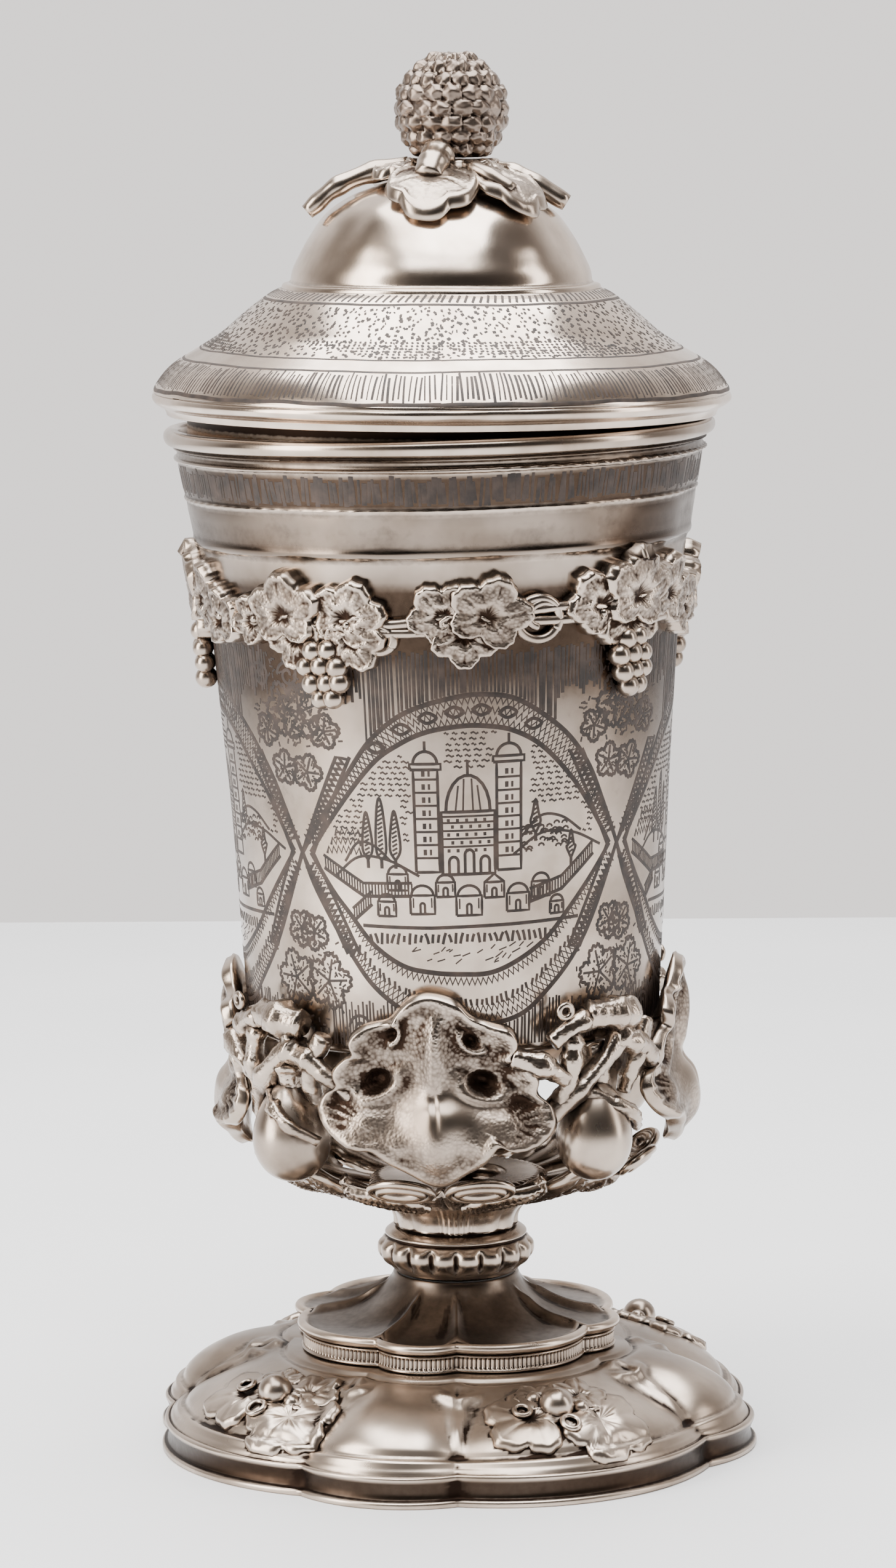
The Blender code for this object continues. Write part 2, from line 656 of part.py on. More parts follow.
def beaker_outside():
    """Outside of the beaker from its bottom edge to its lip, (radius, height)."""
    rise = BEAKER_SHOULDER_H
    grow = BEAKER_SHOULDER_R - BEAKER_BASE_R
    neck = BEAKER_BEAD_H - BEAKER_NECK_H
    lip = BEAKER_BEAD_H
    return [(BEAKER_BASE_R - 1.2 * MM, 0.0),
            (BEAKER_BASE_R - 0.2 * MM, 1.0 * MM),
            (BEAKER_BASE_R + 0.34 * grow, 0.40 * rise),
            (BEAKER_BASE_R + 0.77 * grow, 0.81 * rise),
            (BEAKER_SHOULDER_R, rise),
            (BEAKER_NECK_R, BEAKER_NECK_H),
            (BEAKER_NECK_R + 0.45 * (BEAKER_BEAD_R - BEAKER_NECK_R), BEAKER_NECK_H + 0.5 * neck),
            (BEAKER_BEAD_R, lip),
            (BEAKER_BEAD_R + 0.25 * (BEAKER_LIP_R - BEAKER_BEAD_R), lip + 0.38 * BEAKER_LIP_H),
            (BEAKER_LIP_R - 0.1 * MM, lip + 0.60 * BEAKER_LIP_H),
            (BEAKER_LIP_R, lip + 0.85 * BEAKER_LIP_H),
            (BEAKER_LIP_R - 0.6 * MM, lip + BEAKER_LIP_H)]


def wall_radius(height):
    """Outside radius of the beaker at a height above its bottom."""
    return between([(z, radius) for radius, z in beaker_outside()], height)


def mouth_radius():
    """Inside radius of the beaker's mouth."""
    return BEAKER_BEAD_R - 0.3 * MM


def build_beaker(material, parent):
    """The drinking vessel, hollow, with a flat bottom."""
    outside = beaker_outside()
    inside = [(mouth_radius() + 0.2 * MM, beaker_h),
              (mouth_radius(), beaker_h - 0.9 * BEAKER_LIP_H)]
    for radius, height in reversed(outside[2:6]):
        inside.append((radius - BEAKER_WALL, height))
    inside.append((BEAKER_BASE_R - 1.2 * MM - BEAKER_WALL, BEAKER_BOTTOM))
    profile = [(0.0, 0.0)] + outside + inside + [(0.0, BEAKER_BOTTOM)]
    bm = turn([(radius, seat_z + GAP + height) for radius, height in profile],
              TURNED_SIDES, closed=False)
    return add_piece("beaker", bm, material, parent)


def beaker_surface(angle, height):
    """Point on the beaker's outside at a height above its bottom."""
    return around(angle, wall_radius(height) + BAND_STAND_OFF, seat_z + GAP + height)


# Vine band

def band_stem(height_offset, count=24):
    """The running stem, waving gently up and down."""
    points = []
    for step in range(count):
        angle = math.tau * step / count
        wave = 1.0 * MM * math.sin(BAND_UNITS * angle)
        height = BAND_H + height_offset + wave
        points.append(beaker_surface(angle, height)
                      + around(angle, BAND_STEM_R + 0.2 * MM, 0.0))
    return twig(points, BAND_STEM_R, ring=True)


def band_leaf(angle, height, size, spin):
    """One vine leaf of the band; height is counted from the running stem."""
    one = leaf(BAND_LEAF * size, BAND_THICK, 0.9 * MM, VINE_LOBES, 0.74, blunt=size > 0.9)
    return drape(one, beaker_surface, angle, BAND_H + height * MM, spin)


def band_stalk(angle, turn_by, drop):
    """A short stalk from the running stem down to the leaves and grapes under it."""
    out = around(angle, BAND_STEM_R, 0.0)
    return twig([beaker_surface(angle, BAND_H) + out,
                 beaker_surface(angle + turn_by, BAND_H - drop * MM) + out], BAND_STEM_R)


def cluster_unit(angle):
    """Three vine leaves over a bunch of grapes."""
    shapes = [band_stalk(angle + 0.05, 0.03, 9.0)]
    for side, up, size, spin in ((-0.215, 1.2, 0.8, 20), (-0.03, 3.0, 1.05, 10),
                                 (0.235, 2.0, 0.98, -15), (0.03, -5.2, 0.75, 180)):
        shapes.append(band_leaf(angle + side, up, size, spin))
    for side, down in ((0.02, 8.6), (0.11, 9.4), (0.02, 11.8), (0.09, 12.5)):
        height = BAND_H - down * MM
        spot = beaker_surface(angle + 0.03 + side, height)
        shapes.append(grape(GRAPE_R, spot + around(angle, 0.8 * GRAPE_R, 0.0)))
    return shapes


def single_unit(angle):
    """One leaf over the stem, one under it, and a tendril ring beside them."""
    shapes = [band_stalk(angle + 0.01, 0.03, 5.0),
              band_leaf(angle, 2.6, 1.1, -6),
              band_leaf(angle + 0.02, -4.6, 0.78, 184)]
    ring = []
    for step in range(6):
        phase = math.tau * step / 6
        side = angle + 0.30 + 0.080 * math.cos(phase)
        height = BAND_H - 0.2 * MM + 3.6 * MM * math.sin(phase)
        ring.append(beaker_surface(side, height) + around(side, 1.1 * MM, 0.0))
    shapes.append(twig(ring, 1.1 * MM, ring=True))
    return shapes


def build_vine_band(material, parent):
    """The applied band of leaves, grapes and stems."""
    shapes = [band_stem(0.0)]
    step = math.tau / BAND_UNITS
    for number in range(BAND_UNITS):
        angle = math.radians(BAND_TURN_DEG) + number * step
        shapes += single_unit(angle)
        shapes += cluster_unit(angle + step / 2)
    return add_piece("vine_band", fuse(shapes), material, parent)


# Lid and finial

def lid_outside():
    """Top of the lid from its middle out to its rim, (radius, height)."""
    dome = ((0.0, 1.0), (0.30, 0.975), (0.58, 0.86), (0.78, 0.65), (0.90, 0.38), (1.0, 0.02))
    line = [(LID_DOME_R * out, LID_FLANGE_H + LID_DOME_H * up) for out, up in dome]
    flange = ((0.0, 0.98), (0.35, 0.74), (0.62, 0.55), (0.80, 0.35), (0.94, 0.13), (1.0, 0.0))
    for out, up in flange:
        line.append((LID_FLANGE_R + (LID_RIM_R - LID_FLANGE_R) * out,
                     LID_RIM_H + (LID_FLANGE_H - LID_RIM_H - 0.5 * MM) * up))
    return line


def build_lid(material, parent):
    """Hollow lid with the bezel that stands in the mouth."""
    outside = lid_outside()
    rim = [(LID_RIM_R, LID_RIM_H - 1.0 * MM),
           (LID_RIM_R - 1.0 * MM, LID_RIM_H - 1.7 * MM),
           (LID_EDGE_R + 0.5 * MM, 0.3 * LID_RIM_H),
           (LID_EDGE_R, 0.0)]
    bezel = mouth_radius() - BEZEL_PLAY
    neck = [(bezel, 0.0), (bezel, -BEZEL_H), (bezel - LID_WALL, -BEZEL_H),
            (bezel - LID_WALL, LID_RIM_H)]
    inside = []
    for radius, height in reversed(outside[6:9]):
        inside.append((radius - 0.9 * LID_WALL, height - LID_WALL))
    for radius, height in reversed(outside[1:5]):
        inside.append((radius - LID_WALL, height - 0.8 * LID_WALL))
    inside.append((0.0, outside[0][1] - LID_WALL))
    profile = outside + rim + neck + inside
    bm = turn(profile, TURNED_SIDES, closed=False)
    return add_piece("lid", bm, material, parent)


def lid_top():
    """Height of the lid's crown above its rim."""
    return LID_FLANGE_H + LID_DOME_H


def dome_surface(angle, distance):
    """Point over the lid's dome, at a distance out from the finial's middle."""
    middle = Vector((FRUIT_OFF.x, FRUIT_OFF.y, 0.0))
    spot = middle + around(angle, distance, 0.0)
    height = between(lid_outside(), spot.xy.length)
    lift = 0.9 * MM + 0.9 * MM * max(0.0, 1.0 - distance / (2.2 * SPRAY_HUB_R))
    return spot + Vector((0.0, 0.0, height + lift))


def spray_leaf(angle, distance, size, spin):
    """A thick cast leaf lying over the dome."""
    blade = leaf(SPRAY_LEAF * size, SPRAY_THICK, 0.9 * MM, TREFOIL_LOBES, 0.8)
    middle = Vector((FRUIT_OFF.x, FRUIT_OFF.y, 0.0))
    bmesh.ops.rotate(blade, verts=blade.verts, cent=(0, 0, 0),
                     matrix=Matrix.Rotation(math.radians(spin), 3, "Z"))
    for vert in blade.verts:
        flat = around(angle, distance + vert.co.y, 0.0)
        flat += around(angle + math.pi / 2, vert.co.x, 0.0)
        reach = flat.length
        spot = dome_surface(math.atan2(flat.x, -flat.y), reach)
        vert.co = spot + Vector((0.0, 0.0, vert.co.z + 0.3 * MM))
    return blade


def build_finial_spray(material, parent):
    """Leaves and cut twigs round the fruit's seat."""
    crown = lid_top()
    hub = turn([(0.0, crown + GAP), (0.5 * SPRAY_HUB_R, crown + GAP),
                (SPRAY_HUB_R, crown + GAP + 0.2 * MM),
                (SPRAY_HUB_R, crown + SPRAY_HUB_H), (0.0, crown + SPRAY_HUB_H)], 16, closed=False)
    bmesh.ops.translate(hub, verts=hub.verts, vec=(FRUIT_OFF.x, FRUIT_OFF.y, 0.0))
    shapes = [hub]
    for angle_deg, distance, size, spin in ((-26, 12.5, 0.95, 0), (38, 13.0, 0.82, 15),
                                            (140, 12.5, 0.9, 0), (-145, 12.5, 0.8, 10)):
        shapes.append(spray_leaf(math.radians(angle_deg), distance * MM, size, spin))
    for angle_deg, reach, radius in ((-84, 26.0, 1.1), (86, 20.6, 0.9), (178, 22.0, 0.9)):
        angle = math.radians(angle_deg)
        points = [dome_surface(angle, SPRAY_HUB_R - 0.6 * MM) + Vector((0, 0, 0.9 * MM)),
                  dome_surface(angle, 0.5 * (SPRAY_HUB_R + reach * MM)) + Vector((0, 0, 1.0 * MM)),
                  dome_surface(angle, 0.8 * reach * MM) + Vector((0, 0, 1.5 * MM)),
                  dome_surface(angle, reach * MM) + Vector((0, 0, 2.9 * MM))]
        shapes.append(twig(points, SPRAY_TWIG_R * radius, 0.6))
    stub_at = math.radians(-24)
    stub = [dome_surface(stub_at, 11.4 * MM),
            dome_surface(stub_at, 12.6 * MM) + Vector((0.0, 0.0, 5.4 * MM))]
    shapes.append(twig(stub, 2.6 * MM, 0.9))
    return add_piece("finial_spray", fuse(shapes), material, parent)


def build_finial_fruit(material, parent):
    """Knobbly fruit, its scales standing in staggered rows."""
    bm = bmesh.new()
    bmesh.ops.create_uvsphere(bm, u_segments=2 * FRUIT_KNOBS, v_segments=9, radius=1.0)
    for vert in bm.verts:
        height = vert.co.z
        angle = math.atan2(vert.co.y, vert.co.x)
        row = round(math.acos(max(-1.0, min(1.0, height))) / math.pi * 9)
        column = round(angle / math.tau * 2 * FRUIT_KNOBS)
        knob = 1.0 if (row + column) % 2 == 0 else 0.93
        knob = 1.0 if abs(height) > 0.99 else knob
        width = 1.0 - 0.12 * max(0.0, height) ** 2
        vert.co.x *= FRUIT_R * knob * width
        vert.co.y *= FRUIT_R * knob * width
        vert.co.z = height * FRUIT_H / 2
    seat = lid_top() + SPRAY_HUB_H + GAP
    bmesh.ops.bisect_plane(bm, geom=bm.verts[:] + bm.edges[:] + bm.faces[:],
                           plane_co=(0, 0, -0.38 * FRUIT_H), plane_no=(0, 0, -1), clear_outer=True)
    bmesh.ops.holes_fill(bm, edges=[edge for edge in bm.edges if edge.is_boundary])
    bmesh.ops.translate(bm, verts=bm.verts,
                        vec=(FRUIT_OFF.x, FRUIT_OFF.y, seat + 0.38 * FRUIT_H))
    return add_piece("finial_fruit", bm, material, parent)


def add_lean(name, degrees, pivot, drawn_z=None):
    """An empty at a pivot that tips its children towards -X.

    The children are drawn with the pivot at (0, 0, drawn_z), by default its own height.
    """
    drawn_z = pivot[2] if drawn_z is None else drawn_z
    empty = bpy.data.objects.new(name, None)
    empty.matrix_world = (Matrix.Translation(pivot)
                          @ Matrix.Rotation(math.radians(-degrees), 4, "Y")
                          @ Matrix.Translation(Vector((0.0, 0.0, -drawn_z))))
    bpy.context.collection.objects.link(empty)
    return empty


def main():
    """Build the goblet from the foot up."""
    clear_scene()
    cast = silver("cast_silver", (0.62, 0.58, 0.53), 0.34)
    sheet = silver("raised_silver", (0.72, 0.69, 0.65), 0.26)
    build_foot_base(sheet)
    build_foot_gallery(cast)
    build_foot_dish(sheet)
    build_knop_ring(cast)
    build_stem(cast)
    cup = add_lean("cup_lean", CUP_LEAN_DEG, (CUP_SHIFT, 0.0, calyx_z))
    build_calyx(cast, cup)
    build_beaker(sheet, cup)
    build_vine_band(cast, cup)
    lean = math.radians(CUP_LEAN_DEG)
    mouth = seat_z + GAP + beaker_h - calyx_z
    lift = BEAKER_LIP_R * math.sin(lean - math.radians(LID_LEAN_DEG)) + GAP
    lid_z = calyx_z + math.cos(lean) * mouth + lift
    lid_x = CUP_SHIFT + LID_SHIFT - math.sin(lean) * mouth
    lid_lean = add_lean("lid_lean", LID_LEAN_DEG, (lid_x, 0.0, lid_z), 0.0)
    build_lid(sheet, lid_lean)
    build_finial_spray(cast, lid_lean)
    build_finial_fruit(cast, lid_lean)
    bpy.context.view_layer.update()


main()
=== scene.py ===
"""Visual model of a covered silver cup: turned, raised, cast and engraved silver.

Sizes are in millimetres, and each piece is drawn upright before its lean is put in.
Angles go round the cup from its front, which faces -Y, towards +X.
"""
import logging
import math
import random
from dataclasses import dataclass, field
from enum import Enum
from typing import Callable, Iterable, Sequence

import bmesh
import bpy
import numpy as np
from mathutils import Matrix, Vector
from mathutils.bvhtree import BVHTree
from mathutils.kdtree import KDTree


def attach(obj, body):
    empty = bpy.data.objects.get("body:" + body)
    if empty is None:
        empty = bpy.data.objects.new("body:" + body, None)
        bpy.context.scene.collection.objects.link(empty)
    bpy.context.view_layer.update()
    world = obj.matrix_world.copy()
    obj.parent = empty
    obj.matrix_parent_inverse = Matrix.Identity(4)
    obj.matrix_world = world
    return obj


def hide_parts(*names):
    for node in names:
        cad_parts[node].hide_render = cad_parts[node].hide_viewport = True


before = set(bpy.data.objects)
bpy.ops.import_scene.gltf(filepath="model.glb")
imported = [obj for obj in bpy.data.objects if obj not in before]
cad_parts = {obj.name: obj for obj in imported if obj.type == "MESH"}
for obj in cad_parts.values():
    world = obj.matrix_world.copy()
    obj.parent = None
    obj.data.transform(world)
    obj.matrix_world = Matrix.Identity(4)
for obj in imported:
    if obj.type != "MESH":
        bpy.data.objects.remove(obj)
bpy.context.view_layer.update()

LOG = logging.getLogger("silver_cup")
MM = 0.001
GOLDEN_TURN = 2.39996
Shape = bmesh.types.BMesh
Socket = bpy.types.NodeSocket
Rows = np.ndarray
Points = Sequence[Sequence[float]]
Table = tuple[tuple[float, ...], ...]
Lift = Callable[[Rows, Rows], Rows]

# Heights of the pieces, one on the other, as the solids have them, and the cup's leans.
GALLERY_Z = 17.6
DISH_Z = 20.9
KNOP_Z = 30.2
STEM_Z = 38.7
CALYX_Z = 45.3
SEAT_Z = 76.1
MOUTH_H = 108.1
CUP_LEAN_DEG = 1.08
CUP_SHIFT = 0.6
LID_LEAN_DEG = -0.3
LID_SHIFT = 0.3
LIP_R = 49.1
GAP = 0.3
TRUE_R = 40.0
FOOT_TRUE_R = 44.0
FULL_TURN_MM = math.tau * TRUE_R


def lean_matrix(degrees: float, pivot: Vector, drawn_z: float) -> Matrix:
    """Tip a piece towards -X about a pivot.

    Args:
        degrees: how far the piece leans.
        pivot: where the pivot is.
        drawn_z: height at which the pivot is drawn on the upright piece.

    Returns:
        The matrix that takes the upright piece to its place.
    """
    return (Matrix.Translation(pivot) @ Matrix.Rotation(math.radians(-degrees), 4, "Y")
            @ Matrix.Translation(Vector((0, 0, -drawn_z))))


def cup_place() -> Matrix:
    """Place of the calyx and the beaker, which lean on the stem."""
    return lean_matrix(CUP_LEAN_DEG, Vector((CUP_SHIFT, 0, CALYX_Z)), CALYX_Z)


def lid_place() -> Matrix:
    """Place of the lid, which lies askew in the leaning mouth."""
    lean = math.radians(CUP_LEAN_DEG)
    mouth = SEAT_Z + MOUTH_H - CALYX_Z
    lift = LIP_R * math.sin(lean - math.radians(LID_LEAN_DEG)) + GAP
    pivot = Vector((CUP_SHIFT + LID_SHIFT - math.sin(lean) * mouth, 0,
                    CALYX_Z + math.cos(lean) * mouth + lift))
    return lean_matrix(LID_LEAN_DEG, pivot, 0)


def rounded(before: Rows, start: Rows, stop: Rows, after: Rows,
            share: Rows | float) -> Rows:
    """Value at a share of the span from start to stop, rounded through its neighbours."""
    return 0.5 * (2 * start + (stop - before) * share
                  + (2 * before - 5 * start + 4 * stop - after) * share ** 2
                  + (3 * start - before - 3 * stop + after) * share ** 3)


def smooth_line(points: Points, steps: int = 8) -> Rows:
    """Round a line through its points.

    Args:
        points: places that the line passes through.
        steps: pieces that each span is cut into.

    Returns:
        The rounded line, one place in each row.
    """
    raw = np.array(points, dtype=float)
    ends = np.vstack([2 * raw[0] - raw[1], raw, 2 * raw[-1] - raw[-2]])
    line = [rounded(*ends[one:one + 4], share)
            for one in range(len(raw) - 1) for share in np.arange(steps) / steps]
    return np.array([*line, raw[-1]])


def smooth_ring(values: Sequence[float], shares: Rows) -> Rows:
    """Read a closed round of values, rounded, at shares of the whole turn."""
    raw = np.array(values, dtype=float)
    spot = (shares % 1) * len(raw)
    first = np.floor(spot).astype(int)
    around = (raw[(first + step) % len(raw)] for step in (-1, 0, 1, 2))
    return rounded(*around, spot - first)


def columns(*values: Rows | float) -> Rows:
    """Set columns of numbers side by side, a single number repeated."""
    return np.stack(np.broadcast_arrays(*values), axis=1)


def bump(distance: Rows, width: float) -> Rows:
    """Bell-shaped swelling of height 1 at distance 0."""
    return np.exp(-(distance / width) ** 2)


def ramp(value: Rows, low: float, high: float) -> Rows:
    """Ease from 0 at low to 1 at high."""
    share = np.clip((value - low) / (high - low), 0, 1)
    return share * share * (3 - 2 * share)


def band(value: Rows, low: float, full: float, fade: float, high: float) -> Rows:
    """Ease from 0 at low to 1 at full, and from 1 at fade back to 0 at high."""
    return ramp(value, low, full) * (1 - ramp(value, fade, high))


def outward(line: Rows) -> Rows:
    """Unit direction square to a flat line at each of its points, out of a profile."""
    way = np.gradient(line, axis=0)
    way /= np.linalg.norm(way, axis=1)[:, None].clip(1e-9)
    return columns(way[:, 1], -way[:, 0])


def run_along(line: Rows) -> Rows:
    """Length of a line up to each of its points."""
    return np.concatenate([[0], np.cumsum(np.linalg.norm(np.diff(line, axis=0), axis=1))])


def round_place(angle: Rows, radius: Rows, height: Rows) -> Rows:
    """Rows of (X, Y, Z) for angles round the cup."""
    return columns(radius * np.sin(angle), -radius * np.cos(angle), height)


def oval(wide: float, tall: float, out: float, count: int, x: float = 0.0, y: float = 0.0
         ) -> Rows:
    """Rows of (x, y, out) round a flat oval."""
    turn = np.linspace(0, math.tau, count, endpoint=False)
    return columns(x + wide * np.cos(turn), y + tall * np.sin(turn), out)


class Wall:
    """A turned surface that flat work is laid on: x goes round, y along, out of it z."""

    def __init__(self, line: Rows, reference: float, dents: Lift | None = None,
                 by_height: bool = False) -> None:
        """Take the outline.

        Args:
            line: rows of (radius, height), in the order that y runs.
            reference: radius at which x is a true length.
            dents: extra height of the surface at (angle, y).
            by_height: y is height over the line's first point, not length along it.
        """
        self.line = line
        self.reference = reference
        self.dents = dents
        self.run = line[:, 1] - line[0, 1] if by_height else run_along(line)
        self.normal = outward(line)

    def lay(self, flat: Rows, at_deg: float = 0.0, start: float = 0.0) -> Rows:
        """Lay flat work on the surface.

        Args:
            flat: rows of (x, y, out).
            at_deg: where x = 0 goes, in degrees round the cup.
            start: where y = 0 goes.

        Returns:
            Rows of (X, Y, Z).
        """
        angle = math.radians(at_deg) + flat[:, 0] / self.reference
        along = start + flat[:, 1]
        radius, height, normal_r, normal_z = (
            np.interp(along, self.run, values) for values in (*self.line.T, *self.normal.T))
        over = along - np.clip(along, 0, self.run[-1])
        out = flat[:, 2]
        if self.dents is not None:
            out = out + self.dents(angle, along)
        return round_place(angle, radius - over * normal_z + out * normal_r,
                           height + over * normal_r + out * normal_z)


def coordinates(bm: Shape) -> Rows:
    """Places of a shape's points, one in each row."""
    return np.array([vert.co[:] for vert in bm.verts])


def move_to(bm: Shape, places: Rows) -> Shape:
    """Put a shape's points at new places."""
    for vert, place in zip(bm.verts, places):
        vert.co = place
    return bm


def grid_shape(across: int, along: int) -> tuple[Shape, Rows, Rows]:
    """A grid of cells, with the cell numbers across and along of each of its points."""
    bm = bmesh.new()
    bmesh.ops.create_grid(bm, x_segments=across, y_segments=along, size=0.5)
    grid = coordinates(bm) + 0.5
    return bm, np.round(grid[:, 0] * across), np.round(grid[:, 1] * along)


def join_near(bm: Shape, gap: float) -> Shape:
    """Join points of a shape that lie closer than a gap."""
    bmesh.ops.remove_doubles(bm, verts=bm.verts, dist=gap)
    return bm


def close_ends(bm: Shape) -> Shape:
    """Fill a shape's open ends."""
    bmesh.ops.holes_fill(bm, edges=[edge for edge in bm.edges if edge.is_boundary])
    return bm


def keep_dotted(bm: Shape, amounts: Iterable[float]) -> None:
    """Say how closely each point of a shape is covered with punched dots."""
    layer = bm.verts.layers.float.new("dotted")
    for vert, amount in zip(bm.verts, amounts):
        vert[layer] = float(amount)


def new_holder(name: str, data: bpy.types.ID) -> bpy.types.Object:
    """Put an object for a mesh, curve, lamp or camera in the scene."""
    holder = bpy.data.objects.new(name, data)
    bpy.context.collection.objects.link(holder)
    return holder


def new_curve(fineness: int) -> bpy.types.Curve:
    """A curve whose lines become round rods."""
    curve = bpy.data.curves.new("rod", "CURVE")
    curve.dimensions = "3D"
    curve.bevel_depth = 1
    curve.bevel_resolution = fineness
    return curve


def add_line(curve: bpy.types.Curve, places: Sequence[Sequence[float]],
             sizes: Sequence[float] | float, ring: bool = False) -> None:
    """Add a line of one radius, or of one for each point, to a curve."""
    spline = curve.splines.new("POLY")
    spline.points.add(len(places) - 1)
    spline.use_cyclic_u = ring
    for knot, place, size in zip(spline.points, places, np.broadcast_to(sizes, len(places))):
        knot.co = (*place, 1)
        knot.radius = size


def from_curve(curve: bpy.types.Curve) -> Shape:
    """Turn a curve into a mesh shape and drop the curve."""
    holder = new_holder("holder", curve)
    mesh = bpy.data.meshes.new_from_object(
        holder.evaluated_get(bpy.context.evaluated_depsgraph_get()))
    bm = bmesh.new()
    bm.from_mesh(mesh)
    bpy.data.objects.remove(holder)
    bpy.data.curves.remove(curve)
    bpy.data.meshes.remove(mesh)
    return join_near(bm, 0.0005)


def tube(places: Sequence[Sequence[float]], sizes: Sequence[float] | float, ring: bool = False,
         fineness: int = 3) -> Shape:
    """Round rod along its places, closed at its ends or joined in a ring."""
    curve = new_curve(fineness)
    curve.use_fill_caps = True
    add_line(curve, places, sizes, ring)
    return from_curve(curve)


def ball(radius: float, centre: Sequence[float]) -> Shape:
    """A small round ball."""
    bm = bmesh.new()
    bmesh.ops.create_icosphere(bm, subdivisions=3, radius=radius)
    bmesh.ops.translate(bm, verts=bm.verts, vec=centre)
    return bm


def face_out(bm: Shape) -> None:
    """Turn a shape's faces outwards; an open shape faces as it did when it was made."""
    if any(edge.is_boundary for edge in bm.edges):
        return
    bmesh.ops.recalc_face_normals(bm, faces=bm.faces)
    if bm.calc_volume(signed=True) < 0:
        bmesh.ops.reverse_faces(bm, faces=bm.faces)


class Pile:
    """Shapes gathered into one piece."""

    def __init__(self) -> None:
        """Start with nothing."""
        self.bm = bmesh.new()

    def add(self, part: Shape) -> None:
        """Turn one shape's faces outwards, take it in and free it."""
        face_out(part)
        mesh = bpy.data.meshes.new("part")
        part.to_mesh(mesh)
        part.free()
        self.bm.from_mesh(mesh)
        bpy.data.meshes.remove(mesh)


# Finishes

def linear(hex_color: str) -> tuple[float, float, float, float]:
    """Turn an sRGB colour such as "#c0b8ad" into the linear colour that a shader takes."""
    values = [int(hex_color[start:start + 2], 16) / 255 for start in (1, 3, 5)]
    return (*(value / 12.92 if value <= 0.04045 else ((value + 0.055) / 1.055) ** 2.4
              for value in values), 1)


class Recipe:
    """Node tree of a material or of the world."""

    def __init__(self, owner: bpy.types.Material | bpy.types.World,
                 shader: str = "Principled BSDF") -> None:
        """Start from the owner's bare shader."""
        owner.use_nodes = True
        self.owner = owner
        self.tree = owner.node_tree
        self.shader = self.tree.nodes[shader]

    def put(self, socket: Socket, value: object) -> None:
        """Set an input, or link it where the value comes from another node."""
        if isinstance(value, Socket):
            self.tree.links.new(value, socket)
        else:
            socket.default_value = value

    def shade(self, **inputs: object) -> None:
        """Set inputs of the shader; a name has _ for a space."""
        for key, value in inputs.items():
            self.put(self.shader.inputs[key.replace("_", " ")], value)

    def add(self, kind: str, settings: dict | None = None, **inputs: object) -> bpy.types.Node:
        """Add a node.

        Args:
            kind: the node's type.
            settings: properties set on the node.
            inputs: values or sockets by input name, with _ for a space, or by i and its number.

        Returns:
            The new node.
        """
        node = self.tree.nodes.new(kind)
        for key, value in (settings or {}).items():
            setattr(node, key, value)
        for key, value in inputs.items():
            name = int(key[1:]) if key[1:].isdigit() else key.replace("_", " ")
            self.put(node.inputs[name], value)
        return node

    def math(self, operation: str, first: object, second: object = 0, third: object = 0,
             clamp: bool = True) -> Socket:
        """Add a maths node and give its result, as a rule held between 0 and 1."""
        return self.add("ShaderNodeMath", {"operation": operation, "use_clamp": clamp},
                        i0=first, i1=second, i2=third).outputs[0]

    def ramp(self, factor: Socket, *stops: tuple[float, object]) -> Socket:
        """Add a colour ramp; each stop is (place, grey value or "#colour")."""
        node = self.add("ShaderNodeValToRGB", Fac=factor)
        strip = node.color_ramp
        while len(strip.elements) < len(stops):
            strip.elements.new(0.5)
        for element, (place, shade) in zip(strip.elements, stops):
            element.position = place
            element.color = linear(shade) if isinstance(shade, str) else (shade, shade, shade, 1)
        return node.outputs["Color"]

    def mix(self, factor: object, low: object, high: object) -> Socket:
        """Mix two colours."""
        return self.add("ShaderNodeMix", {"data_type": "RGBA"}, i0=factor, i6=low,
                        i7=high).outputs[2]

    def place(self) -> Socket:
        """Place on the object, in metres."""
        return self.add("ShaderNodeTexCoord").outputs["Object"]

    def noise(self, size_mm: float, detail: float = 3.0, roughness: float = 0.55,
              stretch: tuple[float, float, float] = (1.0, 1.0, 1.0)) -> Socket:
        """Cloudy pattern whose patches are about size_mm across."""
        stretched = self.add("ShaderNodeMapping", Vector=self.place(), Scale=stretch)
        return self.add("ShaderNodeTexNoise", Vector=stretched.outputs[0],
                        Scale=1 / (size_mm * MM), Detail=detail,
                        Roughness=roughness).outputs["Fac"]

    def mark(self, name: str) -> Socket:
        """Read a mark kept on the mesh's points."""
        return self.add("ShaderNodeAttribute", {"attribute_name": name}).outputs["Fac"]

    def relief(self, height: Socket, strength: float, depth_mm: float,
               below: Socket | None = None, invert: bool = False) -> Socket:
        """Fine relief, laid over relief that is there already."""
        node = self.add("ShaderNodeBump", {"invert": invert}, Strength=strength,
                        Distance=depth_mm * MM, Height=height)
        if below is not None:
            self.put(node.inputs["Normal"], below)
        return node.outputs[0]


class Slot(Enum):
    """Material slots of the solids."""

    RAISED = "raised_silver"
    CAST = "cast_silver"


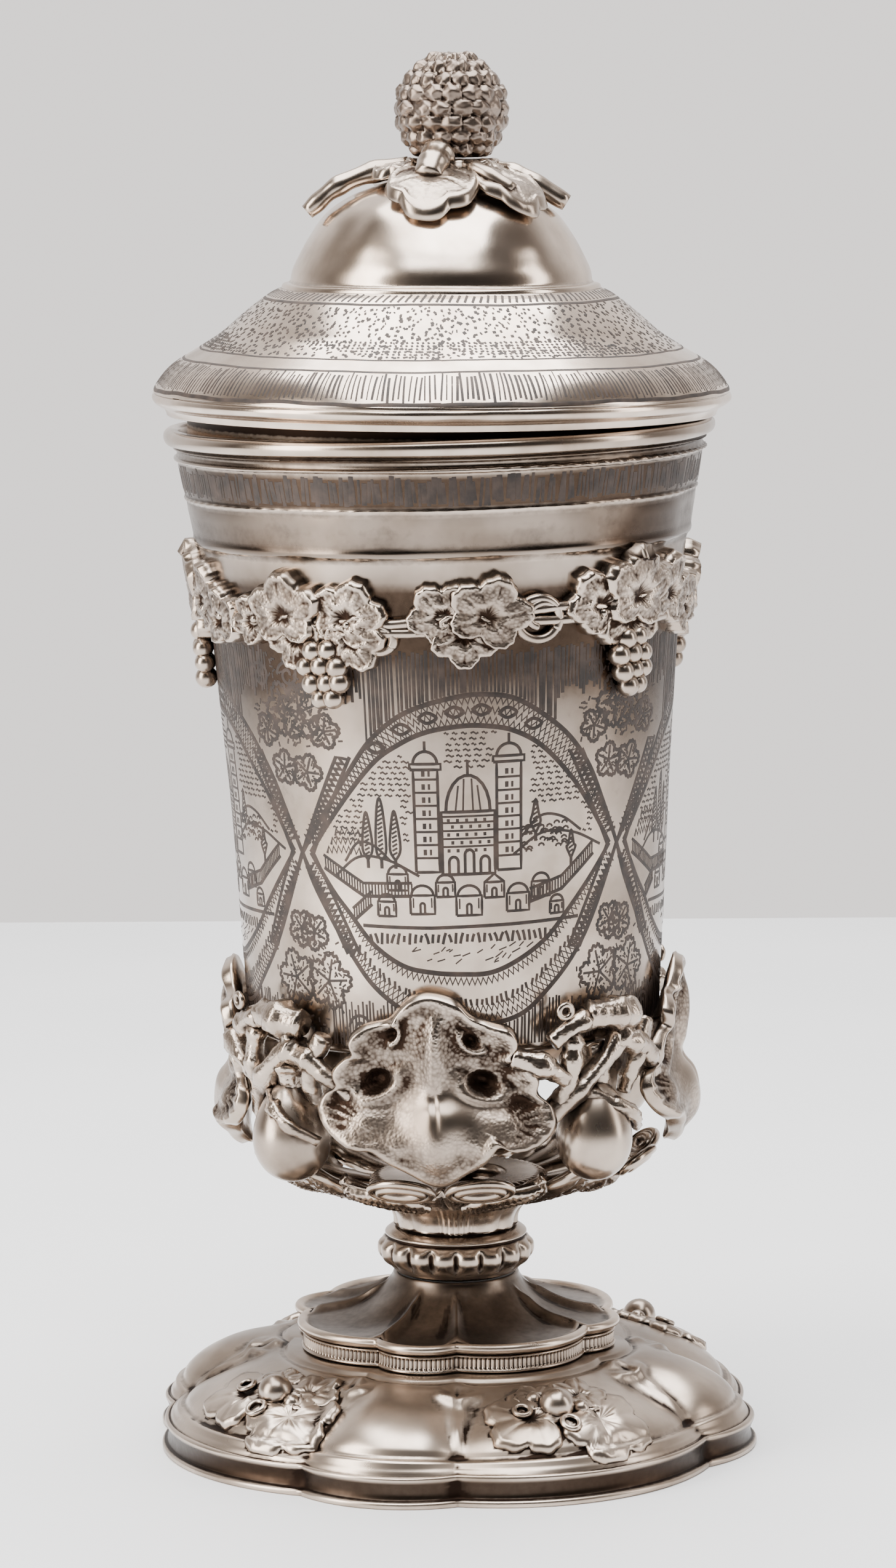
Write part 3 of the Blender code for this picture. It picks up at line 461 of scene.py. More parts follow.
@dataclass(frozen=True)
class Silver:
    """Old silver: bright metal going brown and black with tarnish and patina in its hollows, and
    with painted shade and painted reflection laid into the same dark colours.
    """

    name: str
    bright: str = "#d6c6b7"
    dull: str = "#857362"
    patina_and_shade: str = "#231a15"
    brown: str = "#42362d"
    smooth: float = 0.17
    rough: float = 0.46
    patina_and_shade_from: float = 0.36
    patina_and_shade_to: float = 0.66
    cloud_mm: float = 16.0
    dots_mm: float = 0.0
    scratch: float = 0.25
    hammer: float = 0.0

    def make(self) -> bpy.types.Material:
        """Build the material.

        Returns:
            A metal whose colour and gloss follow the "hollow" and "stain" marks on the mesh; these
            hold patina and tarnish, and also painted shade and painted reflection.
        """
        recipe = Recipe(bpy.data.materials.new(self.name))
        tarnish_and_shade, spread = recipe.mark("tarnish_and_shade"), self.rough - self.smooth
        dulled = recipe.ramp(recipe.noise(self.cloud_mm, 4), (0.38, 0), (0.72, 0.75))
        metal = recipe.mix(dulled, linear(self.bright), linear(self.dull))
        fine = recipe.math("MULTIPLY_ADD", recipe.noise(1.4, 4), 0.22, -0.11, clamp=False)
        depth = recipe.math("MULTIPLY_ADD", tarnish_and_shade, 0.16,
                            recipe.math("ADD", recipe.mark("hollow"), fine))
        relief = recipe.relief(recipe.noise(0.5, 2, 0.6, (1, 1, 0.25)), self.scratch, 0.02)
        if self.hammer:
            relief = recipe.relief(recipe.noise(9, 1), self.hammer, 0.5, relief)
        if self.dots_mm:
            covered = recipe.mark("dotted")
            cells = recipe.add("ShaderNodeTexVoronoi", Vector=recipe.place(),
                               Scale=1 / (self.dots_mm * MM))
            dotted = recipe.math("MULTIPLY", cells.outputs["Distance"], covered)
            depth = recipe.math("MULTIPLY_ADD", dotted, 0.28,
                                recipe.math("MULTIPLY_ADD", covered, 0.15, depth))
            relief = recipe.relief(dotted, 0.6, 0.16, relief, invert=True)
        # Near-black and duller with depth: patina in the hollows, plus painted shade where nearby
        # parts block directions, plus part of the painted browning.
        patina_and_shade = recipe.ramp(depth, (self.patina_and_shade_from, 0), (self.patina_and_shade_to, 1))
        # Brown where the mesh mark says: partly tarnish, partly painted shade and painted dark
        # reflection.
        tarnished_and_shaded = recipe.mix(tarnish_and_shade, metal, linear(self.brown))
        gloss = recipe.math("MULTIPLY_ADD", dulled, 0.5 * spread, self.smooth)
        recipe.shade(Base_Color=recipe.mix(patina_and_shade, tarnished_and_shaded, linear(self.patina_and_shade)), Metallic=1,
                     Roughness=recipe.math("MULTIPLY_ADD", patina_and_shade, spread, gloss), Normal=relief)
        return recipe.owner


@dataclass(frozen=True)
class Patchy:
    """A finish whose colour drifts between two shades, over one gloss."""

    name: str
    low: str
    high: str
    stops: tuple[float, float]
    patch_mm: float
    detail: float
    metallic: float = 0.0
    rough: float = 0.55

    def make(self) -> bpy.types.Material:
        """Build the material."""
        recipe = Recipe(bpy.data.materials.new(self.name))
        patches = recipe.noise(self.patch_mm, self.detail)
        shade = recipe.ramp(patches, (self.stops[0], self.low), (self.stops[1], self.high))
        recipe.shade(Base_Color=shade, Metallic=self.metallic, Roughness=self.rough)
        return recipe.owner


# Bottom of an engraved line: old polish and tarnish in it make it black and hardly shiny.
GROOVE = Patchy("engraved_line", "#1d140f", "#40322a", (0.35, 0.75), 3.0, 3.0, metallic=0.2)
# Satin white paint: it gives the eye an almost even, matt ground.
TABLE_WHITE = Patchy("white_table", "#eceef0", "#f3f4f6", (0.3, 0.7), 120.0, 2.0)


# Marks on the mesh

def skin_depth(mesh: bpy.types.Mesh, rounds: int) -> Rows:
    """How far each point lies under its smoothed surroundings.

    Args:
        mesh: the finished mesh.
        rounds: how many times the surface is smoothed.

    Returns:
        One depth for each point in metres, above 0 in a hollow.
    """
    count = len(mesh.vertices)
    places, normals = np.empty(count * 3), np.empty(count * 3)
    ends = np.empty(len(mesh.edges) * 2, dtype=np.int64)
    mesh.vertices.foreach_get("co", places)
    mesh.vertices.foreach_get("normal", normals)
    mesh.edges.foreach_get("vertices", ends)
    places, normals = places.reshape(-1, 3), normals.reshape(-1, 3)
    first, last = ends.reshape(-1, 2).T
    degree = np.bincount(ends, minlength=count)[:, None].clip(1)
    smooth = places.copy()
    for _ in range(rounds):
        total = np.stack([np.bincount(first, smooth[last, axis], count)
                          + np.bincount(last, smooth[first, axis], count)
                          for axis in range(3)], axis=1)
        smooth = 0.4 * smooth + 0.6 * total / degree
    return np.einsum("ij,ij->i", smooth - places, normals)


def shelter(mesh: bpy.types.Mesh, reach: float, rays: int) -> Rows:
    """Share of the open directions over each point that something near it blocks.

    Args:
        mesh: the finished mesh.
        reach: how far a direction is followed, in metres.
        rays: number of directions.

    Returns:
        One share for each point.
    """
    shape = bmesh.new()
    shape.from_mesh(mesh)
    tree = BVHTree.FromBMesh(shape)
    rng = random.Random(7)
    directions = []
    for number in range(rays):
        rise = 0.25 + 0.75 * (number + 0.5) / rays
        turn = number * GOLDEN_TURN + rng.random()
        flat = math.sqrt(1 - rise * rise)
        directions.append(Vector((flat * math.cos(turn), flat * math.sin(turn), rise)))
    shares = []
    for vert in shape.verts:
        turn = vert.normal.to_track_quat("Z", "Y")
        start = vert.co + vert.normal * 0.00006
        blocked = sum(tree.ray_cast(start, turn @ direction, reach)[0] is not None
                      for direction in directions)
        shares.append(blocked / rays)
    shape.free()
    return np.array(shares)


def keep_mark(mesh: bpy.types.Mesh, name: str, values: Rows) -> None:
    """Store one number for each point, held between 0 and 1."""
    mark = mesh.attributes.new(name, "FLOAT", "POINT")
    mark.data.foreach_set("value", np.clip(values, 0, 1).astype(np.float32))


def new_object(name: str, bm: Shape, material: bpy.types.Material) -> bpy.types.Object:
    """Make a shape an object of one material, and free the shape."""
    mesh = bpy.data.meshes.new(name)
    bm.to_mesh(mesh)
    bm.free()
    mesh.materials.append(material)
    return new_holder(name, mesh)


def finish(name: str, bm: Shape, material: bpy.types.Material, slot: Slot,
           place: Matrix | None = None, depth_mm: float = 0.5, rounds: int = 14, rays: int = 0,
           tarnish_and_shade: Callable[[Rows], Rows] | None = None) -> None:
    """Make a shape a finished piece of the model.

    Args:
        name: the piece's name; one in _silver stands for the solid of that name.
        bm: its shape in mm, drawn upright.
        material: its finish.
        slot: the material slot that the finish comes from; not used.
        place: where the upright shape goes.
        depth_mm: depth of a hollow that is fully dark.
        rounds: how widely hollows are looked for.
        rays: directions looked along for shelter, which darkens the colour as painted shade, or
            none.
        tarnish_and_shade: how brown each upright place (X, Y, Z) is, from tarnish and from painted
            shade and painted reflection.
    """
    face_out(bm)
    tarnished_and_shaded = tarnish_and_shade(coordinates(bm)) if tarnish_and_shade else np.zeros(len(bm.verts))
    bm.transform(Matrix.Scale(MM, 4) @ (place or Matrix.Identity(4)))
    piece = new_object(name, bm, material)
    mesh = piece.data
    mesh.shade_smooth()
    hollow = 0.25 + 0.5 * skin_depth(mesh, rounds) / (depth_mm * MM)
    if rays:
        few = rays
        # Shelter from nearby parts darkens the colour: painted shade on top of the patina in the
        # hollows.
        hollow += 0.95 * shelter(mesh, 5 * MM, few)
    keep_mark(mesh, "hollow", hollow)
    keep_mark(mesh, "tarnish_and_shade", tarnished_and_shaded)
    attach(piece, "root")
    node = name.removesuffix("_silver")
    if node != name:
        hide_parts(node)
    LOG.info("%s: %d faces", name, len(mesh.polygons))


# Leaves

@dataclass(frozen=True)
class Finger:
    """One round lobe of a leaf."""

    direction: float
    reach: float
    half_width: float
    start: float = 0.25
    overlap: float = 0.12

    def edge(self, angle: Rows) -> Rows:
        """Reach of the lobe's oval in each direction from the leaf's middle."""
        off = angle - math.radians(self.direction)
        half = 0.5 * (self.reach - self.start) + self.overlap
        middle = 0.5 * (self.reach + self.start) - self.overlap
        half = middle + 0.02 if middle >= half else half
        square = np.cos(off) ** 2 / half ** 2 + np.sin(off) ** 2 / self.half_width ** 2
        single = -2 * middle * np.cos(off) / half ** 2
        rest = middle ** 2 / half ** 2 - 1
        root = np.sqrt(np.maximum(single ** 2 - 4 * square * rest, 0))
        return (root - single) / (2 * square)


@dataclass(frozen=True)
class LeafCut:
    """How a kind of leaf is cut and modelled, in shares of its size."""

    fingers: tuple[Finger, ...]
    thickness: float = 1.2
    puff: float = 0.8
    vein: float = 0.35
    vein_width: float = 0.22
    rib_pitch: float = 1.5
    rib: float = 0.12
    teeth: float = 0.02
    tooth_count: int = 23
    curl: float = 0.5
    dotted: float = 1.0

    def flat(self, size: float, around: int, rings: int, back: bool = False) -> Shape:
        """Model the leaf flat.

        Args:
            size: length of reach 1 in mm.
            around: points round the edge.
            rings: rings of points from the middle to the edge.
            back: closes the leaf behind instead of sinking its edge into the wall.

        Returns:
            The shape, its y along the leaf and its z out of the wall, with its dotted parts
            marked.
        """
        extra = 5 if back else 2
        bm, cell, level = grid_shape(around, rings + extra)
        angle = cell / around * math.tau
        share = np.clip(level / rings, 0, 1) ** 0.8
        behind = level > rings
        if back:
            share = np.where(behind, 1 - 0.2 * (level - rings), share)
            share = np.where(level == rings + 1, 0.97, share)
            share = np.where(level == rings + extra, 0, share)
        reaches = np.array([finger.edge(angle) for finger in self.fingers])
        lobe = reaches.argmax(axis=0)
        reach = reaches.max(axis=0) * (1 + self.teeth * np.sin(self.tooth_count * angle))
        radius = reach * size * share
        x, y = radius * np.cos(angle), radius * np.sin(angle)
        heading = np.radians([finger.direction for finger in self.fingers])[lobe]
        width = np.array([finger.half_width for finger in self.fingers])[lobe] * size
        along = x * np.cos(heading) + y * np.sin(heading)
        across = -x * np.sin(heading) + y * np.cos(heading)
        swell = np.sqrt(np.clip(1 - (across / (1.05 * width)) ** 2, 0, 1))
        grown = ramp(share, 0.05, 0.45)
        top = self.thickness + self.puff * swell * grown * (1 - 0.55 * share)
        top -= self.vein * bump(across, self.vein_width) * (1 - 0.6 * share) * grown
        phase = (along + 0.9 * np.abs(across)) / self.rib_pitch
        top += self.rib * np.cos(math.tau * phase) * grown * (1 - ramp(share, 0.85, 1))
        top += self.curl * bump(share - 0.89, 0.06) * (0.6 + 0.4 * np.sin(5 * angle))
        top -= (top - 0.3 * self.thickness) * ramp(share, 0.93, 1) ** 2 * 0.8
        if back:
            out = np.where(behind, -0.15 * self.thickness, top)
            out = np.where(behind & (share > 0.9), 0.1 * self.thickness, out)
        else:
            out = np.where(level == rings + 1, 0.1, top)
            out = np.where(level == rings + 2, -0.6, out)
        move_to(bm, columns(x, y, out))
        keep_dotted(bm, self.dotted * grown * (1 - ramp(share, 0.82, 0.95)) * ~behind)
        bmesh.ops.reverse_faces(join_near(bm, 0.002), faces=bm.faces)
        return bm


def turn_flat(bm: Shape, degrees: float) -> Shape:
    """Turn a flat shape in its own plane."""
    bmesh.ops.rotate(bm, verts=bm.verts, cent=(0, 0, 0),
                     matrix=Matrix.Rotation(math.radians(degrees), 3, "Z"))
    return bm


def lay_on(bm: Shape, wall: Wall, at_deg: float, start: float,
           lift: Callable[[Rows], Rows | float] | None = None) -> Shape:
    """Lay a flat shape on a wall.

    Args:
        bm: the flat shape.
        wall: the surface.
        at_deg: where its x = 0 goes, in degrees round the cup.
        start: where its y = 0 goes.
        lift: extra height for rows of (x, y, out).

    Returns:
        The same shape, in place.
    """
    flat = coordinates(bm)
    if lift is not None:
        flat[:, 2] += lift(flat)
    return move_to(bm, wall.lay(flat, at_deg, start))


VINE_FINGERS = (Finger(90, 1.0, 0.45), Finger(28, 0.98, 0.42), Finger(152, 0.96, 0.42),
                Finger(-36, 0.80, 0.38), Finger(216, 0.78, 0.38), Finger(270, 0.42, 0.34))


# Shared turned shapes

def skin(steps: int, rows: int, place: Lift) -> Shape:
    """Bend a fine grid once round the axis and join it where it meets itself.

    Args:
        steps: cells round the axis.
        rows: rows of points along the profile, less one.
        place: gives rows of (X, Y, Z) for angles and row numbers.

    Returns:
        The bent grid.
    """
    bm, cell, row = grid_shape(steps, rows)
    return join_near(move_to(bm, place(cell / steps * math.tau, row.astype(int))), 0.003)


def turned(line: Rows, steps: int, lift: Lift | None = None) -> Shape:
    """Turn an outline, with its surface lifted where the work on it is raised.

    Args:
        line: rows of (radius, height).
        steps: cells round the axis.
        lift: height of the raised work at (angle, row number).

    Returns:
        The turned shape.
    """
    way = outward(line)

    def place(angle: Rows, row: Rows) -> Rows:
        """Place of each point."""
        out = 0 if lift is None else lift(angle, row)
        return round_place(angle, line[row, 0] + out * way[row, 0],
                           line[row, 1] + out * way[row, 1])

    return skin(steps, len(line) - 1, place)


def closed(line: Rows, rise: float) -> Rows:
    """Raise an outline and join its end to its start."""
    return np.vstack([line, line[:1]]) + np.array([0, rise])


@dataclass(frozen=True)
class LobedPlan:
    """Plan of the foot: a wide and a narrow lobe in each quarter, with cusps between."""

    wide_deg: float = 58.5

    def part(self, angle: Rows) -> tuple[Rows, Rows]:
        """Half width of the lobe at each angle, and the angle from its middle."""
        wide = math.radians(self.wide_deg)
        quarter = math.tau / 4
        along = angle % quarter
        in_wide = along < wide
        half = np.where(in_wide, wide / 2, (quarter - wide) / 2)
        middle = np.where(in_wide, wide / 2, (quarter + wide) / 2)
        return half, along - middle

    def radius(self, angle: Rows, cusp: Rows, peak: Rows) -> Rows:
        """Radius of the plan, from its radius at cusps and at the middles of lobes."""
        half, off = self.part(angle)
        chord = cusp * np.sin(half)
        rise = peak - cusp * np.cos(half)
        arc_r = (chord ** 2 + rise ** 2) / (2 * rise)
        centre = peak - arc_r
        side = np.maximum(arc_r ** 2 - (centre * np.sin(off)) ** 2, 0)
        return centre * np.cos(off) + np.sqrt(side)


PLAN = LobedPlan()


def lobed_skin(profile: Rows, quarter_steps: int, lift: Lift) -> Shape:
    """Bend a profile of (cusp radius, lobe radius, height) round the lobed plan."""
    way = outward(profile[:, [0, 2]])

    def place(angle: Rows, row: Rows) -> Rows:
        """Place of each point."""
        out = lift(angle, row)
        radius = PLAN.radius(angle, profile[row, 0], profile[row, 1])
        return round_place(angle, radius + out * way[row, 0], profile[row, 2] + out * way[row, 1])

    return skin(4 * quarter_steps, len(profile) - 1, place)


def lobed(line: Rows, cusp: float, peak: float, rise: float = 0.0) -> Rows:
    """Give a line of (out, up) the plan's radii at cusps and at the middles of lobes."""
    return columns(cusp + line[:, 0], peak + line[:, 0], rise + line[:, 1])


# Foot

@dataclass
class FootBase:
    """Lobed dome on its stepped rim, with raised leaves and berries."""

    cusp_r: float = 52.4
    lobe_r: float = 55.3
    rim_h: float = 5.6
    dome_h: float = 11.7
    wall: float = 1.0
    tread: float = 2.6
    boss_r: float = 12.0
    collar_cusp_r: float = 29.5
    collar_lobe_r: float = 31.6
    puff_wide: float = 2.3
    puff_narrow: float = 3.3
    fold_h: float = 1.7
    leaf_deg: tuple[float, ...] = (24.0, 128.0, 209.0, 312.0)

    def dome_profile(self, count: int = 52) -> Rows:
        """Rows of (cusp radius, lobe radius, height) from the rim's shelf to the collar."""
        shape = smooth_line(((0, 0), (0.09, 0.1), (0.24, 0.32), (0.46, 0.5), (0.72, 0.71),
                             (1, 1)), 12)
        inward = np.linspace(0, 1, count)
        cusp, peak = self.cusp_r - 1.6, self.lobe_r - 1.6
        return columns(cusp + (self.collar_cusp_r - cusp) * inward,
                       peak + (self.collar_lobe_r - peak) * inward,
                       self.rim_h + 0.4 + (self.dome_h - 0.4) * np.interp(inward, *shape.T))

    def dome_lift(self, angle: Rows, inward: Rows, radius: Rows) -> Rows:
        """Height of the pillows, folds and contour lines raised on the dome.

        Args:
            angle: place round the foot.
            inward: share of the way from the rim to the collar.
            radius: radius there, which turns angles into lengths.

        Returns:
            The height out of the plain dome.
        """
        half, off = PLAN.part(angle)
        from_cusp = (half - np.abs(off)) * radius
        puff = np.where(half > 0.4, self.puff_wide, self.puff_narrow)
        swell = np.sin(math.pi * np.clip(1.04 * inward, 0, 1) ** 1.1) ** 0.75
        out = swell * (puff * (1 - (np.abs(off) / half) ** 3) - 0.5)
        fold = bump(from_cusp, 0.75 * (0.7 + 2.1 * ramp(inward, 0.12, 0.8)))
        out += self.fold_h * band(inward, 0.06, 0.35, 0.86, 0.97) * fold
        wing = bump(inward - 0.66 - 0.03 * from_cusp, 0.06)
        out += 0.9 * wing * (1 - ramp(from_cusp, 2.6, 4.6))
        out += 0.45 * bump(inward - 0.07, 0.022) - 0.35 * bump(inward - 0.125, 0.022)
        return out - 0.5 * bump(inward - 0.94, 0.03)

    def place_on_dome(self, flat: Rows, at_deg: float, start: float) -> Rows:
        """Lay flat work on the dome: x goes round, y inwards from the shelf, z out."""
        profile = self.dome_profile()
        line = profile[:, [0, 2]]
        run = run_along(line)
        angle = math.radians(at_deg) + flat[:, 0] / FOOT_TRUE_R
        cusp, peak, height, share, normal_r, normal_z = (
            np.interp(start + flat[:, 1], run, values)
            for values in (*profile.T, np.linspace(0, 1, len(profile)), *outward(line).T))
        radius = PLAN.radius(angle, cusp, peak)
        out = flat[:, 2] + self.dome_lift(angle, share, radius)
        return round_place(angle, radius + out * normal_r, height + out * normal_z)

    def build(self) -> Shape:
        """Model the dome, its rim and its hollow underside."""
        rim = smooth_line(((-self.tread, 0), (-1.3, 0), (-0.25, 0), (0, 0.2),
                           (0.12, 0.55), (0.05, 0.95), (-0.25, 1.2), (-0.75, 1.4), (-1, 1.9),
                           (-1.12, 2.6), (-1.05, 3.3), (-0.85, 4), (-0.55, 4.6), (-0.42, 5),
                           (-0.5, 5.35), (-0.8, 5.55), (-1.1, 5.5), (-1.3, 5.35),
                           (-1.45, 5.5)), 2)
        rim = lobed(rim, self.cusp_r, self.lobe_r)
        dome = self.dome_profile()
        top = self.rim_h + self.dome_h
        collar = [(self.boss_r, self.boss_r + 0.01, height) for height in (top, top - self.wall)]
        rows = np.vstack([rim, dome, collar, dome[-2:2:-5] - self.wall, rim[:1]])
        first, last = len(rim), len(rim) + len(dome) - 1

        def lift(angle: Rows, row: Rows) -> Rows:
            """Raised work at each point."""
            share = np.clip((row - first) / (last - first), 0, 1)
            wave = 0.1 * np.sin(5 * angle + 1.1) + 0.07 * np.sin(11 * angle)
            plain = np.where(row < first, wave * ramp(rows[row, 2], 1, 4), 0)
            plain -= np.where(row > last + 2, 0.3, 0)
            return np.where((row >= first) & (row <= last),
                            self.dome_lift(angle, share, rows[row, 0]), plain)

        return lobed_skin(rows, 100, lift)

    def tarnish_and_shade(self, places: Rows) -> Rows:
        """How brown the foot is: most on the rim's hollow face and high on the dome, with painted
        shade at the sides as seen from the front.
        """
        x, y, height = places.T
        reach = np.hypot(x, y)
        face = band(height, 1, 1.7, 4.4, 5) * ramp(reach, 48, 49.5)
        # Painted shade: the left and right sides go browner.
        aside = np.abs(x) / reach.clip(1)
        return 0.06 + 0.9 * face + 0.3 * aside ** 3 + 0.3 * ramp(height, 13, 16.5)

    def dress(self, pile: Pile) -> None:
        """Add the raised leaves and berries of the four wide lobes."""
        cut = LeafCut(VINE_FINGERS, thickness=0.6, puff=0.9, vein=0.18, vein_width=0.3,
                      rib=0, curl=0.35, teeth=0.03, tooth_count=17)
        for degrees in self.leaf_deg:
            for side, up, size, spin in ((-7, 10.2, 8.6, 62), (7.8, 8.2, 9, -128),
                                         (7, 14.6, 6.4, -30), (-3.4, 15.4, 5, 20)):
                leaf = turn_flat(cut.flat(size, 84, 9), spin)
                pile.add(move_to(leaf, self.place_on_dome(coordinates(leaf), degrees + side, up)))
            for side, up, radius in ((-0.4, 12.6, 3.1), (5.4, 11.6, 1.5), (-4.6, 15.4, 1.5)):
                spot = self.place_on_dome(np.array([(0, 0, 0.35 * radius)]), degrees + side, up)
                pile.add(ball(radius, spot[0]))
            for side, up in ((0.2, 7.6), (-9, 11.6)):
                ring = self.place_on_dome(oval(1.35, 1.35, 1.5, 20), degrees + side, up)
                pile.add(tube(ring, 0.5, ring=True))


@dataclass
class FootGallery:
    """Upright strip of fine reeds under the dish's edge."""

    inset: float = 1.0
    wall: float = 1.2
    height: float = 3.0
    cusp_r: float = 27.6
    lobe_r: float = 30.3
    reeds: int = 220

    def build(self) -> Shape:
        """Model the strip with a plain fillet above and below its reeds."""
        line = np.array([(0, 0.02), (0.25, 0.05), (0.35, 0.3), (0.1, 0.5), (-0.05, 0.6),
                         (-0.05, 1), (-0.05, 1.4), (-0.05, 1.8), (-0.05, 2.2), (-0.05, 2.5),
                         (0.15, 2.65), (0.2, 2.85), (0, 2.98), (-self.wall, self.height),
                         (-self.wall, 0), (0, 0.02)])

        def lift(angle: Rows, row: Rows) -> Rows:
            """Reeds stand in the middle rows only."""
            reeded = (row >= 4) & (row <= 9)
            return np.where(reeded, 0.42 * np.abs(np.cos(0.5 * self.reeds * angle)) - 0.35, 0)

        rows = lobed(line, self.cusp_r - self.inset, self.lobe_r - self.inset, GALLERY_Z)
        return lobed_skin(rows, self.reeds, lift)


@dataclass
class FootDish:
    """Trumpet that flares from the knop down into a lobed dish."""

    cusp_r: float = 27.6
    lobe_r: float = 30.3
    edge: float = 1.3
    height: float = 9.0
    neck_r: float = 11.3
    wall: float = 1.3

    def tarnish_and_shade(self, places: Rows) -> Rows:
        """How brown the dish is: painted dark reflection of the cup above it all over its hollow,
        but not on its edge.
        """
        x, y, _ = places.T
        edge = PLAN.radius(np.arctan2(x, -y) % math.tau, self.cusp_r, self.lobe_r)
        return 0.84 * (1 - ramp(np.hypot(x, y) / edge, 0.91, 0.96))

    def build(self) -> Shape:
        """Model the dish with its upturned bright edge and the ridges up from its cusps."""
        out, up = smooth_line(((0, 1), (0.03, 0.86), (0.1, 0.68), (0.2, 0.5), (0.34, 0.31),
                               (0.52, 0.16), (0.72, 0.07), (0.88, 0.03)), 4).T
        radius = self.neck_r + (self.cusp_r - self.neck_r) * out
        peak = radius + (self.lobe_r - self.cusp_r) * np.clip(1.15 * out, 0, 1) + 0.02
        top = columns(radius, peak, DISH_Z + self.edge + (self.height - self.edge) * up)
        edge = lobed(np.array([(-1.6, 1.45), (-1.2, 1.75), (-0.8, 1.85), (-0.3, 1.7), (0, 1.3),
                               (0.05, 0.9), (-0.1, 0.5), (-0.5, 0.25), (-0.8, 0),
                               (-3.4, 0)]), self.cusp_r, self.lobe_r, DISH_Z)
        under = (top[:-6:4] - self.wall * np.array([1, 1, 0.9]))[::-1]
        under[-1, 2] = DISH_Z + self.height
        rows = np.vstack([top, edge, under, top[:1]])

        def lift(angle: Rows, row: Rows) -> Rows:
            """Ridges run up from the cusps and melt into the neck."""
            half, off = PLAN.part(angle)
            out = np.clip((rows[row, 0] - self.neck_r) / (self.cusp_r - self.neck_r), 0, 1)
            from_cusp = (half - np.abs(off)) * rows[row, 0]
            ridge = np.clip(1 - from_cusp / (0.7 + 2.4 * out), 0, 1) ** 1.4
            lifted = ridge * band(out, 0.02, 0.25, 0.8, 0.98)
            lifted -= 1.1 * (1 - (off / half) ** 2) * bump(out - 0.5, 0.36)
            lifted += 0.1 * np.sin(7 * angle + 9 * out)
            return np.where(row < len(top), -lifted * ramp(out, 0, 0.08), 0)

        return lobed_skin(rows, 100, lift)


@dataclass
class KnopRing:
    """Ring of gadroons between the stem and the foot."""

    radius: float = 13.8
    height: float = 8.2
    gadroons: int = 18
    neck: float = 11.0

    def build(self) -> Shape:
        """Model fat gadroons under a smooth collar."""
        half, core, neck = self.height / 2, self.radius - 1.9, self.neck
        line = closed(smooth_line((
            (neck - 3, -half), (neck - 0.2, 0.05 - half), (neck + 0.5, 0.5 - half),
            (core + 0.2, -0.72 * half), (core + 1.1, -0.5 * half), (self.radius, -0.2 * half),
            (self.radius, 0.18 * half), (core + 1.2, 0.45 * half), (core + 0.5, 0.58 * half),
            (core + 1, 0.68 * half), (core + 0.6, 0.82 * half), (neck, half - 0.05),
            (neck - 3, half)), 3), KNOP_Z + half)
        low, high = KNOP_Z + 0.12 * self.height, KNOP_Z + 0.76 * self.height

        def lift(angle: Rows, row: Rows) -> Rows:
            """Gadroons are round in front and pinched between."""
            off = (angle * self.gadroons / math.tau) % 1 * 2 - 1
            return band(line[row, 1], low, low + 1.6, high - 1.4, high) \
                * (2.1 * np.sqrt(np.clip(1 - (0.96 * off) ** 2, 0, 1)) - 1.75)

        return turned(line, 18 * self.gadroons, lift)


@dataclass
class Stem:
    """Short neck with fine flutes, flaring up to the calyx."""

    foot_r: float = 11.2
    top_r: float = 15.4
    height: float = 6.0
    flutes: int = 12

    def build(self) -> Shape:
        """Model the neck."""
        foot = self.foot_r
        line = closed(smooth_line((
            (foot - 3.5, 0), (foot - 0.2, 0.02), (foot, 0.25), (foot + 0.1, 1.5),
            (foot + 0.8, 3), (foot + 2, 4.2), (self.top_r - 0.4, self.height - 0.2),
            (self.top_r - 0.8, self.height - 0.02), (foot - 3.5, self.height)), 3), STEM_Z)

        def lift(angle: Rows, row: Rows) -> Rows:
            """Broad flutes with fine lines in every third one."""
            broad = 0.35 * np.abs(np.cos(0.5 * self.flutes * angle)) - 0.35
            third = np.cos(self.flutes * angle / 3) > 0.5
            lines = np.where(third, 0.09 * np.cos(6 * self.flutes * angle), 0)
            return ramp(line[row, 0], foot - 1, foot - 0.1) * (broad + lines)

        return turned(line, 32 * self.flutes, lift)


# Beaker

def dented(angle: Rows, height: Rows, radius: float, dents: Table) -> Rows:
    """How far soft dents of (degrees, height, width, depth) push a turned wall in."""
    out = 0
    for at_deg, level, width, depth in dents:
        off = (angle - math.radians(at_deg) + math.pi) % math.tau - math.pi
        out = out - depth * bump(np.hypot(off * radius, height - level), width)
    return out


